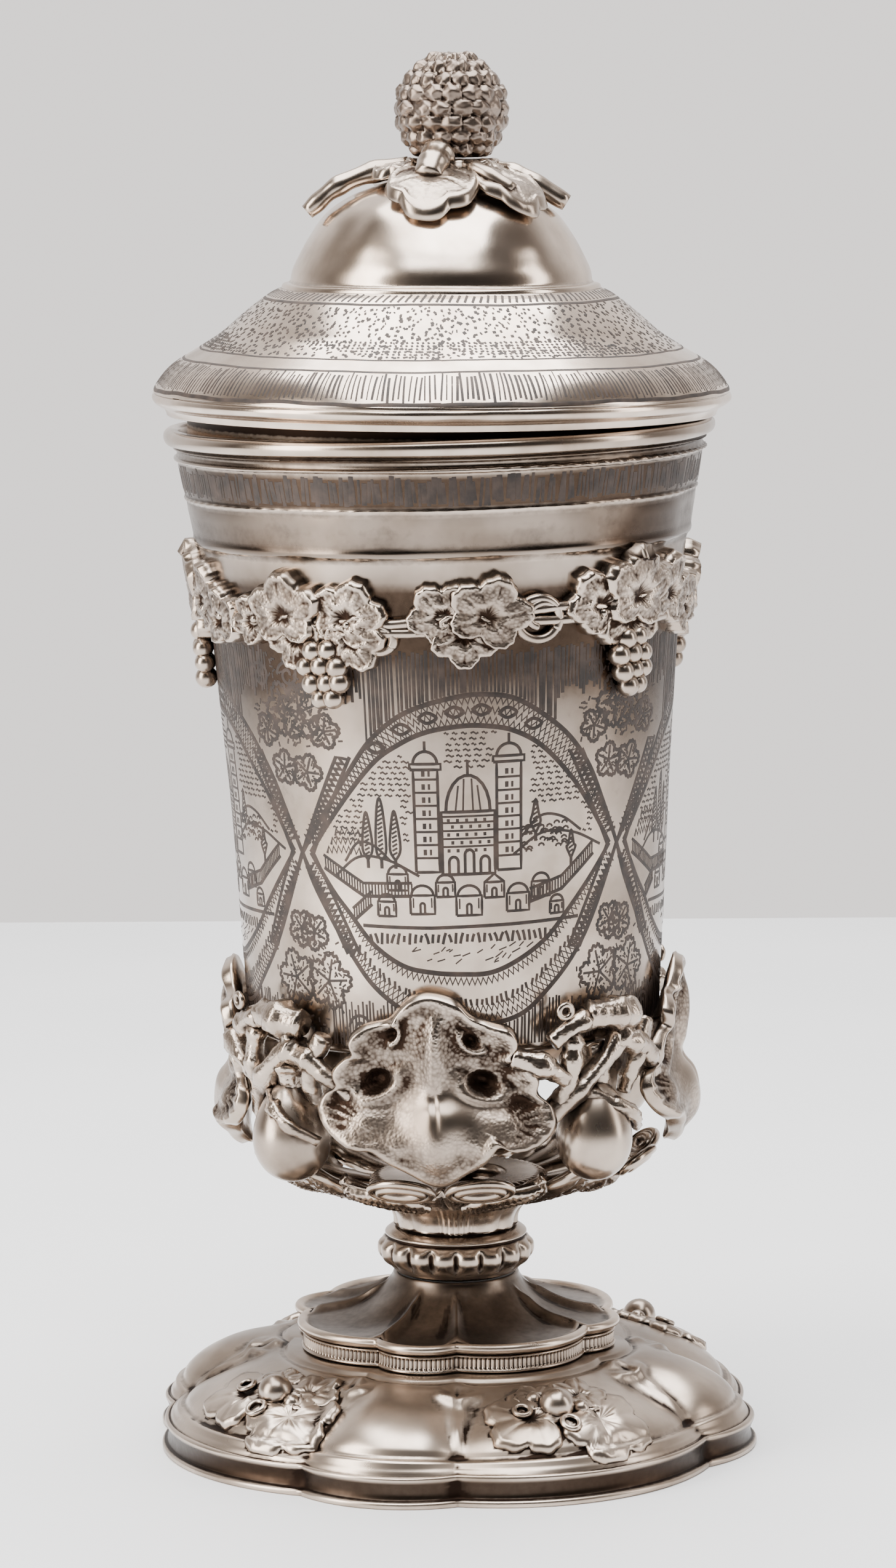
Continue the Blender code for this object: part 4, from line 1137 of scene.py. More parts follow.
@dataclass
class Beaker:
    """The raised drinking vessel with its lip mouldings."""

    wall: float = 0.8
    bottom: float = 1.4
    mouth_r: float = 46.4
    dents: Table = (
        (-38, 91.5, 5, 0.5), (-12, 93, 4, 0.35), (21, 92, 5, 0.45),
        (40, 94, 3.5, 0.3), (75, 92, 6, 0.5), (130, 40, 9, 0.6),
        (205, 60, 11, 0.8), (250, 92, 6, 0.5), (310, 45, 8, 0.4),
        (4, 22, 9, 0.22), (-30, 30, 8, 0.25))

    def outline(self) -> Rows:
        """Outside of the beaker, rows of (radius, height above its own bottom)."""
        body = smooth_line(((36.9, 1.6), (37.4, 9), (38, 19), (38.55, 29), (39.4, 43),
                            (40.25, 54), (41, 64), (41.65, 72), (42.25, 79.4),
                            (43.1, 84.5), (43.5, 86.9)), 5)
        foot = smooth_line(((35, 0), (35.9, 0.1), (36.6, 0.6), (36.85, 1.2)), 3)
        mouldings = smooth_line((
            (43.75, 87.4), (44.25, 87.9), (44.45, 88.6), (44.4, 89.3), (44.6, 90.5),
            (44.85, 92), (45.2, 93.8), (45.35, 95.2), (45.55, 95.6), (45.75, 96),
            (45.6, 96.4), (45.85, 97.4), (46.2, 99.4), (46.55, 101.4), (46.7, 102.3),
            (46.95, 102.5), (47.35, 102.75), (47.35, 103.1), (46.95, 103.35), (46.8, 103.7),
            (46.85, 104.2), (47.2, 104.55), (47.5, 104.75), (47.1, 104.95), (47.6, 105.2),
            (48.5, 105.5), (48.95, 106.1), (49.1, 106.8), (48.95, 107.5), (48.4, 108),
            (47.8, 108.1)), 2)
        return np.vstack([foot, body, mouldings])

    def unevenness(self, angle: Rows, height: Rows) -> Rows:
        """How far the wall is out of true at (angle, height above the bottom)."""
        out = 0.1 * np.sin(3 * angle + 0.06 * height) + 0.06 * np.sin(7 * angle - 0.11 * height)
        return (out + dented(angle, height, 42, self.dents)) * ramp(height, 2, 8)

    def side(self) -> Wall:
        """The outside as a surface for flat work, true lengths at its middle."""
        return Wall(self.outline() + [0, SEAT_Z], TRUE_R, self.unevenness, by_height=True)

    def tarnish_and_shade(self, places: Rows) -> Rows:
        """How brown the upright wall is: most round the vine band and under the lip, with painted
        dark reflection on the plain band below the lip's strokes, on the right and away from the
        front, and browner low down.
        """
        height = places[:, 2] - SEAT_Z
        angle = np.arctan2(places[:, 0], -places[:, 1])
        drift = height + 1.3 * np.sin(5 * angle) + 0.8 * np.sin(11 * angle + 1)
        out = 0.14 + 0.85 * bump(drift - 76, 9.5) + 0.4 * (1 - ramp(drift, 5, 14))
        # The band from 86.5 to 96 is the plain flaring band, browned as painted dark reflection.
        for amount, *span in ((0.85, 95.6, 96.8, 101.6, 102.6), (0.5, 86.5, 89, 95, 96),
                              (0.44, 30, 66, 80, 84), (0.45, 102.6, 103.2, 105, 105.6)):
            out += amount * band(height, *span)
        # Painted dark reflection: browner towards the right and away from the front.
        return out + 0.2 * ramp(np.abs(angle - 0.35), 0.7, 1.3) + 0.32 * ramp(angle, 0.35, 0.95)

    def build(self) -> Shape:
        """Model the vessel with a true wall and a flat bottom."""
        outside = self.outline()
        mouth = outside[-1, 1]
        inside = [(self.mouth_r + 0.5, mouth), (self.mouth_r + 0.1, mouth - 0.5),
                  (self.mouth_r, mouth - 4.9)]
        inside += [(np.interp(level, outside[:, 1], outside[:, 0]) - self.wall, level)
                   for level in np.linspace(94, 6, 14)]
        inside += [(35, 2.4), (34, 1.6)] + [(reach, self.bottom) for reach in (31, 12, 0)]
        line = np.vstack([[(0, 0)], outside, inside])
        last = len(outside)

        def lift(angle: Rows, row: Rows) -> Rows:
            """The wall is a little out of true, with twisted dashes on the bead."""
            height = line[row, 1]
            beaded = bump(height - 102.95, 0.4) * ramp(np.sin(angle - 0.35), -0.5, 0.2)
            out = self.unevenness(angle, height) + 0.22 * beaded * np.sin(90 * angle + 2.2 * height)
            out += 0.1 * bump(height - 95.9, 0.35) * np.sin(90 * angle)
            inner = np.where((row > last) & (height > 3), -0.4 * out, 0)
            return np.where(row <= last, out, inner) * ramp(line[row, 0], 20, 34)

        bm = turned(line, 360, lift)
        bmesh.ops.translate(bm, verts=bm.verts, vec=(0, 0, SEAT_Z))
        return bm


# Vine band

@dataclass
class VineBand:
    """Applied band of leaves, grapes and tendrils on a double running stem.

    A leaf is (degrees, height, size, turn) and a ring (degrees, height, radius). A repeat says
    whether it is the left group, and how far round it goes.
    """

    middle_h: float = 76.6
    left: Table = (
        (-48.6, 76.2, 5.2, 30), (-38.5, 78, 7.6, 6), (-22.6, 77.6, 6.8, -14),
        (-35.4, 74.2, 6, 166), (-21.4, 74, 5.8, 204), (0, 77.8, 6.4, 34),
        (9.6, 77.6, 7.4, -22), (4.6, 74.6, 6.2, 184))
    right: Table = (
        (38.2, 78.4, 7, 26), (49, 79.6, 8.6, -4), (47.4, 75.6, 6.8, 176),
        (63.5, 78.6, 7.2, -20), (74, 75.6, 6.4, 14))
    grapes: Table = (
        (-31.4, 72), (-27.4, 72.2), (-33.4, 69.2), (-29.4, 69.4), (-25.4, 69.2),
        (-32, 66.2), (-28.2, 66.4), (-25, 66.6), (-30, 63.6), (-26.8, 63.8))
    rings: Table = ((22, 76.8, 3.6), (-56, 77, 2.4), (-15, 74, 2.2))
    repeats: tuple[tuple[bool, float], ...] = (
        (True, 0), (False, 0), (True, 136), (True, 226), (False, 223))

    def stems(self, wall: Wall, rng: random.Random) -> Iterable[Shape]:
        """The two rods of the running stem, with small knots."""
        turn = math.tau * np.arange(360) / 360
        for side in (-0.95, 0.95):
            wave = np.sin(4 * turn) + 0.25 * np.sin(13 * turn + side)
            flat = columns(turn * wall.reference, wave + side, 1.15)
            sizes = [0.92 + 0.08 * rng.random() for _ in turn]
            yield tube(wall.lay(flat, 0, self.middle_h), sizes, ring=True)

    def tendril(self, wall: Wall, at_deg: float, height: float, radius: float) -> Shape:
        """A tendril that curls into itself."""
        turn = np.linspace(-0.6, 1.72 * math.tau, 90)
        reach = radius * (1 - 0.62 * ramp(turn, 0.9 * math.tau, 1.72 * math.tau))
        lift = 1.1 + 0.5 * ramp(turn, math.tau, 1.5 * math.tau)
        flat = columns(reach * np.cos(turn), reach * np.sin(turn), lift)
        return tube(wall.lay(flat, at_deg, height), np.linspace(1, 0.75, 90))

    def stalk(self, wall: Wall, at_deg: float, stop: float) -> Shape:
        """A short stalk between the running stem and a leaf."""
        share = np.linspace(0, 1, 14)
        height = self.middle_h + (stop - self.middle_h) * share
        flat = columns(0.4 * share, height, 1.1 + np.sin(math.pi * share))
        return tube(wall.lay(flat, at_deg), 0.75)

    def build(self, wall: Wall) -> Shape:
        """Model the whole band on the beaker's outside."""
        rng = random.Random(3)
        pile = Pile()
        for rod in self.stems(wall, rng):
            pile.add(rod)
        for is_left, turn in self.repeats:
            for at_deg, height, size, spin in self.left if is_left else self.right:
                cut = LeafCut(VINE_FINGERS, thickness=1.7, puff=1.5, vein=0.22,
                              vein_width=0.24, rib=0.03, rib_pitch=0.85, curl=0.6, teeth=0.022,
                              tooth_count=rng.choice((19, 23)))
                blade = cut.flat(size * rng.uniform(0.96, 1.05), 100, 11)
                turn_flat(blade, spin + rng.uniform(-6, 6))
                tilt = rng.uniform(-0.05, 0.05)
                raised = 0.7 if size > 7.3 else 0
                pile.add(lay_on(blade, wall, at_deg + turn, height, lambda flat: (
                    tilt * flat[:, 0] + raised) * ramp(flat[:, 2], 0, 0.6)))
                stop = height + (1 if height < self.middle_h else -1)
                pile.add(self.stalk(wall, at_deg + turn, stop))
            if is_left:
                for at_deg, height, radius in self.rings:
                    pile.add(self.tendril(wall, at_deg + turn, height, radius))
            else:
                turn += 77.5
            for at_deg, height in self.grapes:
                spot = wall.lay(np.array([(0, 0, 1.9)]), at_deg + turn, height)
                pile.add(ball(rng.uniform(1.8, 2.05), spot[0]))
        return pile.bm


# Calyx

@dataclass
class CalyxLeaf:
    """One of the four curled leaves, drawn flat: x from its middle line, z in height.

    A hollow is (x, z, width, depth, lean) and a boss (x, z, width, height, rise).
    """

    centre_z: float = 66.0
    outline: Table = (
        (0, 83.7), (4.4, 82.4), (7, 79.6), (10, 78.4), (13.4, 77.4), (14.8, 74.6),
        (13.8, 72.2), (16.8, 70.6), (18.6, 67.6), (18.4, 65), (20.8, 62.2), (21.2, 58.8),
        (18.2, 56.2), (13.8, 55.4), (10.8, 56.2), (8.4, 53.2), (5.4, 51.4), (0.6, 49),
        (-4.6, 51.4), (-8, 53.2), (-11, 55.4), (-14, 55.8), (-18.8, 58),
        (-21.6, 61.6), (-20.6, 64.8), (-18, 66.8), (-18.4, 69.8), (-16.2, 72),
        (-14.2, 73.2), (-14.6, 75.8), (-12, 78), (-7.8, 79), (-5.4, 81.6), (-3.2, 83.2))
    hollows: Table = (
        (-10.4, 67.8, 2.3, 2, 24), (8.8, 67.4, 2.3, 2.1, -18), (-7, 76.4, 1, 0.9, 74),
        (6.8, 75, 1.3, 1.1, -38))
    bosses: Table = (
        (1.2, 60.8, 6.4, 5.4, 3.7), (0.6, 54.6, 4.2, 3.8, 2.4), (-12.6, 60.2, 4.4, 4.2, 2.8),
        (12.4, 59.2, 4.6, 4, 2.9), (-7, 56, 3.2, 2.8, 1.7), (8.2, 55.6, 3.2, 2.8, 1.7),
        (0.2, 73, 3.4, 6, 1.3), (-3.6, 80.2, 2.8, 2.2, 0.9), (3.4, 80, 2.8, 2.2, 0.9),
        (-12.2, 74.4, 2.6, 2.4, 1.3), (11.4, 75.4, 2.6, 2.4, 1.3), (-15.4, 68.8, 2.6, 2.2, 1.4),
        (15.6, 68, 2.6, 2.2, 1.4), (-18.4, 62.4, 2.6, 2.6, 0.9), (18, 61.2, 2.6, 2.6, 0.9))
    thickness: float = 2.2

    def height(self, x: Rows, z: Rows, share: Rows) -> Rows:
        """Height of the modelled face over the leaf's plain outside.

        Args:
            x: distance from the middle line.
            z: height.
            share: share of the way from the centre to the edge.

        Returns:
            The height.
        """
        out = 0.9 * band(share, 0.8, 0.92, 0.95, 1)
        for side, low, wide, tall, rise in self.bosses:
            out += rise * bump(np.hypot((x - side) / wide, (z - low) / tall), 1)
        out -= 0.3 * bump(x - 0.4 + 0.1 * (z - 62), 0.6) * band(z, 57.5, 60, 65, 68)
        out += 1.5 * bump(x - 0.2 - 0.05 * (z - 70), 1.9) * band(z, 64, 69, 76, 82)
        for side, level, wide, deep, lean in self.hollows:
            cos, sin = math.cos(math.radians(lean)), math.sin(math.radians(lean))
            short_way = (z - level) * cos - (x - side) * sin
            away = np.hypot(0.78 * ((x - side) * cos + (z - level) * sin), 1.2 * short_way)
            out -= deep * (1 - ramp(away, 0.1 * wide, 1.3 * wide))
            out += 1.1 * bump(away - 1.5 * wide, 0.6 * wide) \
                * (1 - ramp(short_way, -0.2 * wide, 0.8 * wide))
        lower = (1 - ramp(z, 61.5, 64.5)) * ramp(np.abs(x), 12, 14)
        turn = np.arctan2(z - 60, np.abs(x) - 11.5)
        return out + 0.22 * np.cos(turn * 22) * lower * (1 - ramp(share, 0.93, 0.98))

    def flat(self) -> Shape:
        """Model the leaf flat, closed behind: x aside, y in height, z outwards."""
        around, rings, behind = 184, 42, 5
        bm, cell, level = grid_shape(around, rings + behind)
        edge_x, edge_z = (smooth_ring(values, cell / around) for values in zip(*self.outline))
        share = np.where(level <= rings, (level / rings) ** 0.85,
                         1 - (level - rings - 1) / (behind - 1))
        share = np.where(level == rings + 1, 0.985, share)
        x = share * edge_x + (1 - share) * 0.3
        z = self.centre_z + (edge_z - self.centre_z) * share
        front = self.height(x, z, share)
        front -= (front + 0.3) * ramp(share, 0.955, 1)
        curl = 1.6 * ramp(share, 0.7, 1) * ramp(np.abs(edge_x), 9, 15)
        back = np.where(share > 0.9, -0.8, 0.3 - self.thickness)
        out = np.where(level <= rings, front, np.minimum(back, front - 0.6)) + curl
        move_to(bm, columns(x, z - CALYX_Z, out))
        on_boss = bump(np.hypot((x - 1) / 7.5, (z - 62) / 5.5), 1)
        amount = np.where(level <= rings, (1 - 1.3 * on_boss).clip(0, 1), 0)
        keep_dotted(bm, amount * (1 - ramp(share, 0.88, 0.95)))
        return join_near(bm, 0.004)


@dataclass
class Calyx:
    """Openwork basket of four curled leaves, four gourds and crossing twigs.

    A twig is its radius and taper, then places (degrees from the gourd, height, distance out
    of the leaves' foot).
    """

    turn_deg: float = -5.5
    hub_r: float = 13.8
    hub_h: float = 2.6
    leaf: CalyxLeaf = field(default_factory=CalyxLeaf)
    gourd_r: float = 6.5
    gourd_ring_r: float = 38.2
    twig_r: float = 39.6
    twigs: tuple[tuple[float, float, Table], ...] = (
        (1.75, 1, ((-5, 82.4, 1.2), (2.5, 82.2, 1.7), (10, 81.6, 1.2))),
        (1.25, 0.85, ((-9, 80.6, 0.9), (-9.6, 77, 1), (-10.5, 70, 0.6),
                      (-15, 65, -2.4))),
        (1.35, 0.85, ((5, 80.6, 0.9), (6.8, 77.1, 1.6), (13, 75.5, 1.9), (18, 72.4, 1),
                      (22.5, 69, -1))),
        (1.2, 0.9, ((-15.5, 78.6, 1.6), (-10, 81, 1.9), (-3, 82.2, 1.4), (4.5, 83.4, 1))),
        (1.35, 0.7, ((-25.5, 76.4, 1), (-18, 74.6, 1.9), (-11.8, 72, 1.2),
                     (-4, 69.4, -0.8))),
        (1.3, 0.85, ((-17.5, 63, -2.2), (-9, 68.6, 0.2), (-0.2, 74, 1.3), (7, 79, 0.7))),
        (0.95, 0.7, ((-5, 69, -0.4), (0.5, 66.6, 2.4), (6, 64.4, 3.6), (13, 60.5, 0.4))),
        (1.15, 0.8, ((16.5, 79.6, 0.8), (12, 74, 1), (11, 67, -1.2))),
        (1.5, 1, ((0, 68, -1.6), (0.5, 71.5, -1.2), (0, 76.8, -2))))

    def outside(self) -> Wall:
        """Outside of the leaves, read by height over the calyx's underside."""
        line = smooth_line(((33.4, 4.6), (36.2, 6.8), (38.4, 9.4), (39.7, 12), (40.3, 15.6),
                            (40, 18.8), (39.1, 22.6), (39, 26.4), (39.4, 29.6),
                            (39.8, 33.4), (40.2, 38.8)), 10)
        return Wall(line + [0, CALYX_Z], TRUE_R, by_height=True)

    def underside(self) -> Wall:
        """Line of the straps from the hub out under the gourds."""
        line = smooth_line(((11, 0.7), (15.5, 1.2), (20.5, 2.2), (26, 4), (31, 6.4),
                            (35, 9.6), (37.5, 13)), 10)
        return Wall(line + [0, CALYX_Z], 26)

    def hub(self) -> Shape:
        """Ring in the middle, with a dotted collar."""
        line = closed(smooth_line([(self.hub_r + out, up) for out, up in (
            (-6, 0.3), (-0.5, 0.3), (1.4, 0.7), (2.4, 1.5), (1.2, 2.4), (-0.6, self.hub_h),
            (-6, self.hub_h))], 5), CALYX_Z)
        return turned(line, 256, lambda angle, row: 0.2 * np.cos(64 * angle)
                      * ramp(line[row, 0], self.hub_r, self.hub_r + 1.5))

    def strap(self, width: float, length: float, seed: int) -> Shape:
        """A pointed leaf with combed ribs, closed behind, that starts at y = 0."""
        around, behind, rows = 16, 4, 40
        bm, cell, row = grid_shape(around + behind, rows)
        side = np.where(cell <= around, 2 * cell / around - 1,
                        1 - 2 * (cell - around) / behind)
        share = row / rows
        half = 0.5 * width * (0.55 + 0.45 * np.sin(math.pi * share ** 0.8)) \
            * (1 - 0.75 * ramp(share, 0.75, 1)) * (1 + 0.09 * np.sin(share * 26 + seed))
        x, y = half * side, length * share
        top = 1.7 * np.sqrt(np.clip(1 - 0.8 * side ** 2, 0, 1)) + 0.4 - 0.8 * bump(x, 0.5)
        top += 0.22 * np.cos(math.tau * (y - 0.9 * np.abs(x)) / 1.1) * (1 - np.abs(side) ** 6)
        out = np.where(cell <= around, top, -0.7)
        out = np.where(np.abs(side) > 0.98, 0.2, out)
        return close_ends(join_near(move_to(bm, columns(x, y, out)), 0.004))

    def gourd(self, rng: random.Random) -> Shape:
        """A smooth fruit, a little narrower at the top, with its stem's seam."""
        bm = bmesh.new()
        bmesh.ops.create_uvsphere(bm, u_segments=48, v_segments=32, radius=1)
        x, y, up = coordinates(bm).T
        wide = (self.gourd_r + 0.25) * (1 - 0.17 * up - 0.04 * up ** 2)
        wide *= 1 + 0.02 * np.sin(2 * np.arctan2(y, x) + rng.random() * 6)
        tall = 9 * up + 2.5 * np.clip(up - 0.8, 0, 1)
        return move_to(bm, columns(wide * x, wide * y, tall))

    def twig(self, radius: float, taper: float, points: Table, rng: random.Random) -> Shape:
        """A cut twig with knots and furrows in its bark, as the table of twigs has it."""
        turn, height, out = smooth_line(points, 9).T
        places = round_place(np.radians(turn), self.twig_r + out, height)
        count = len(places)
        steps = np.arange(count)
        sizes = np.linspace(1, taper, count) * radius
        for _ in range(max(2, count // 12)):
            sizes *= 1 + 0.3 * bump(steps - rng.uniform(0.1, 0.9) * count, 2)
        bm = tube(places, sizes * (1 + 0.04 * np.sin(steps * 1.9)), fineness=4)
        middle = KDTree(count)
        for number, place in enumerate(places):
            middle.insert(place, number)
        middle.balance()
        for vert in bm.verts:
            _, number, _ = middle.find(vert.co)
            away = vert.co - Vector(places[number])
            bark = 0.26 * math.sin(5 * math.atan2(away.z, away.x + away.y) + 0.35 * number)
            if away.length > 0.3 * radius:
                vert.co += away.normalized() * bark
        keep_dotted(bm, np.full(len(bm.verts), 0.55))
        return bm

    def gourd_unit(self, rng: random.Random) -> Iterable[Shape]:
        """A gourd with its straps and twigs, at angle 0."""
        gourd = self.gourd(rng)
        gourd.transform(Matrix.Translation((0, 0.3 - self.gourd_ring_r, 61.2))
                        @ Matrix.Rotation(math.radians(4), 4, "X"))
        yield gourd
        for side, width, length in ((0, 9, 27), (-13, 7, 22), (13, 7, 22)):
            strap = self.strap(width, length, rng.randrange(9))
            yield lay_on(strap, self.underside(), side, 1.6 if side else 0.8)
        for radius, taper, points in self.twigs:
            yield self.twig(1.42 * radius, taper, points, rng)
        ring = self.outside().lay(oval(1.15, 1.15, 2.4, 24), -12.5, 79.6 - CALYX_Z)
        yield tube(ring, 0.55, ring=True)

    def build(self) -> Shape:
        """Model the whole basket."""
        pile = Pile()
        pile.add(self.hub())
        outside, under = self.outside(), self.underside()
        for number in range(4):
            at_deg = self.turn_deg + 90 * number
            pile.add(lay_on(self.leaf.flat(), outside, at_deg, 0))
            pile.add(lay_on(self.strap(11.5, 20, number), under, at_deg, 0.6))
            for side in (-1, 1):
                scroll = turn_flat(self.strap(6.4, 15, number + 2), -side * 44)
                pile.add(lay_on(scroll, under, at_deg + side * 9, 11.5, lambda flat: 0.9))
                for wide, tall, thick in ((2.9, 1.5, 1.05), (4.3, 2.9, 0.8)):
                    loop = under.lay(oval(wide, tall, 1.9, 32), at_deg + side * 12, 23)
                    pile.add(tube(loop, thick, ring=True))
            spin = Matrix.Rotation(math.radians(at_deg + 45), 4, "Z")
            for part in self.gourd_unit(random.Random(20 + number)):
                part.transform(spin)
                pile.add(part)
        return pile.bm


# Lid and finial

@dataclass
class Lid:
    """Raised lid: a wide engraved flange, a plain dome and the bezel under it."""

    wall: float = 0.8
    bezel_r: float = 45.2
    bezel_h: float = 4.5
    dents: Table = (
        (-45, 33, 4, 0.35), (10, 35.5, 5, 0.3), (60, 31, 4, 0.3),
        (170, 32, 6, 0.5), (-8, 9, 5, 0.3), (120, 14, 7, 0.5))

    def flange(self) -> Rows:
        """Flange from the roll of the rim up to the dome's base, (radius, height)."""
        return smooth_line(((51.2, 4.2), (50.9, 4.9), (49.9, 6.4), (48.4, 8.1), (46.4, 9.6),
                            (42.6, 11.9), (39, 14.2), (36, 16.8), (33, 19.3),
                            (30.4, 21.2), (28.9, 22)), 5)

    def outline(self) -> Rows:
        """Outside from the rim's underside up to the crown."""
        rim = smooth_line(((48.8, 0), (49, 0.6), (49.4, 1.2), (50.3, 1.7), (50.9, 2.1),
                           (51.35, 2.6), (51.45, 3.1), (51.3, 3.6), (50.95, 3.85)), 3)
        fillet = smooth_line(((28.3, 22.2), (28.2, 22.6), (28, 22.95), (27.5, 23.15),
                              (27, 23.2)), 3)
        dome = smooth_line(((26.7, 23.6), (26.3, 25.6), (25.2, 28), (23.6, 31),
                            (20.9, 34.9), (17.8, 37.4), (14, 39.3), (8, 41.1),
                            (0, 41.5)), 6)
        return np.vstack([rim, self.flange(), fillet, dome])

    def unevenness(self, angle: Rows, height: Rows) -> Rows:
        """How far the sheet is out of true at (angle, height)."""
        out = 0.09 * np.sin(4 * angle + 0.1 * height) + 0.05 * np.sin(9 * angle - 0.2 * height)
        out = out + dented(angle, height, 30, self.dents)
        return out * band(height, 0.5, 4, 38, 41)

    def side(self) -> Wall:
        """The flange as a surface for flat work, measured up from the rim."""
        line = self.flange()
        run = run_along(line)
        return Wall(line, TRUE_R, lambda angle, along: self.unevenness(
            angle, np.interp(along, run, line[:, 1])))

    def build(self) -> Shape:
        """Model the lid, hollow, with its bezel."""
        outside = self.outline()
        bezel = [(self.bezel_r + out, up) for out, up in (
            (0.2, 0.1), (0, -0.3), (0, -3.6), (-0.2, -self.bezel_h), (-0.7, -self.bezel_h),
            (-0.8, -3.6), (-0.8, 3), (-0.9, 8))]
        under = outside[(outside[:, 1] > 10.5) & (outside[:, 1] < 41)][::3]
        inner = under - self.wall * outward(under)
        line = np.vstack([outside[::-1], bezel, inner, [(0, 41.5 - self.wall)]])

        def lift(angle: Rows, row: Rows) -> Rows:
            """Unevenness, with the roll a little irregular."""
            height = line[row, 1]
            out = self.unevenness(angle, height) * ramp(line[row, 0], 2, 9)
            roll = 0.12 * bump(height - 3, 0.8) * np.sin(17 * angle + 2 * np.sin(5 * angle))
            inner = np.where(height > 9, 0.4 * out, 0)
            return np.where(row < len(outside), -(out + roll), inner)

        return turned(line, 320, lift)


def over_dome(lid: Lid, places: Rows, middle: tuple[float, float], lift: float
              ) -> Rows:
    """Bend flat work over the lid's crown.

    Args:
        lid: the lid that it lies on.
        places: rows of (x, y, height over the dome).
        middle: where the flat work's own middle is.
        lift: gap under it.

    Returns:
        Rows of (X, Y, Z).
    """
    line = lid.outline()
    line = line[line[:, 1] > 22][::-1]
    x = places[:, 0] + middle[0]
    y = places[:, 1] + middle[1]
    base = np.interp(np.hypot(x, y), line[:, 0], line[:, 1])
    return columns(x, y, base + places[:, 2] + lift)


@dataclass
class FinialSpray:
    """Cast leaves and cut twigs under the fruit."""

    middle: tuple[float, float] = (1.8, 0.0)
    hub_r: float = 8.6
    hub_h: float = 3.4
    leaves: Table = (
        (-13, 14.2, 8.6, 0), (44, 13.6, 7.4, -16), (140, 12.5, 7.4, 8),
        (-145, 12.5, 7, -10), (-66, 10.6, 4.6, 14), (86, 10.8, 4.8, 10))

    def blade(self, lid: Lid, at_deg: float, distance: float, size: float, spin: float
              ) -> Shape:
        """One thick leaf that droops over the dome, its edges curled up."""
        cut = LeafCut((Finger(90, 0.7, 0.5), Finger(-22, 0.96, 0.6), Finger(202, 0.96, 0.6),
                       Finger(270, 1, 0.6)),
                      thickness=1.3, puff=0.7, vein=0.3, vein_width=0.4, rib=0.08, curl=0.9,
                      teeth=0.012, tooth_count=9, dotted=0.5)
        bm = turn_flat(cut.flat(size, 100, 12, back=True), spin)
        bmesh.ops.translate(bm, verts=bm.verts, vec=(0, -distance, 0))
        turn_flat(bm, at_deg)
        return move_to(bm, over_dome(lid, coordinates(bm), self.middle, 1.6))

    def twig(self, lid: Lid, points: Table, radius: float, taper: float) -> Shape:
        """A cut twig; its points are (degrees, distance, height over the dome)."""
        turn, distance, height = np.array(points, dtype=float).T
        flat = round_place(np.radians(turn), distance, height)
        line = smooth_line(over_dome(lid, flat, self.middle, 0.6), 8)
        sizes = np.linspace(1, taper, len(line)) * radius
        for share in (0.3, 0.62, 0.85):
            sizes *= 1 + 0.22 * bump(np.arange(len(line)) - share * len(line), 2)
        return tube(line, sizes, fineness=5)

    def build(self, lid: Lid) -> Shape:
        """Model the spray.

        Args:
            lid: the lid that it lies on.

        Returns:
            The spray, drawn over the upright lid.
        """
        pile = Pile()
        hub = smooth_line(((0, 0.3), (6, 0.3), (8.2, 0.5), (8.9, 1.4), (8.4, 2.6),
                           (7.2, 3.3), (0, 3.4)), 5)
        hub[:, 1] += 41.5
        base = turned(hub, 96, lambda angle, row: 0.35 * np.sin(9 * angle)
                      * ramp(hub[row, 0], 5, 8))
        bmesh.ops.translate(base, verts=base.verts, vec=(*self.middle, 0))
        pile.add(base)
        for at_deg, distance, size, spin in self.leaves:
            pile.add(self.blade(lid, at_deg, distance, size, spin))
        for points, radius, taper in (
                ([(-84, 7.6, 1.6), (-85, 14, 2), (-83, 20.5, 2.6), (-84, 25.6, 4.4)], 1.6, 0.7),
                ([(-96, 8, 1.2), (-99, 14, 1.6), (-104, 18.5, 2)], 1.2, 0.7),
                ([(86, 7.6, 1.6), (84, 13, 2), (86, 20.4, 3.4)], 1.5, 0.75),
                ([(178, 7.6, 1.6), (176, 14, 2), (178, 21.6, 3.4)], 1.5, 0.7),
                ([(-16, 6.6, 4.2), (-17, 9.6, 3.6), (-18, 13.4, 1.4)], 2.3, 0.8),
                ([(20, 8, 2), (24, 13, 3), (38, 17.5, 2.4)], 1.2, 0.7)):
            pile.add(self.twig(lid, points, 1.2 * radius, taper))
        return pile.bm


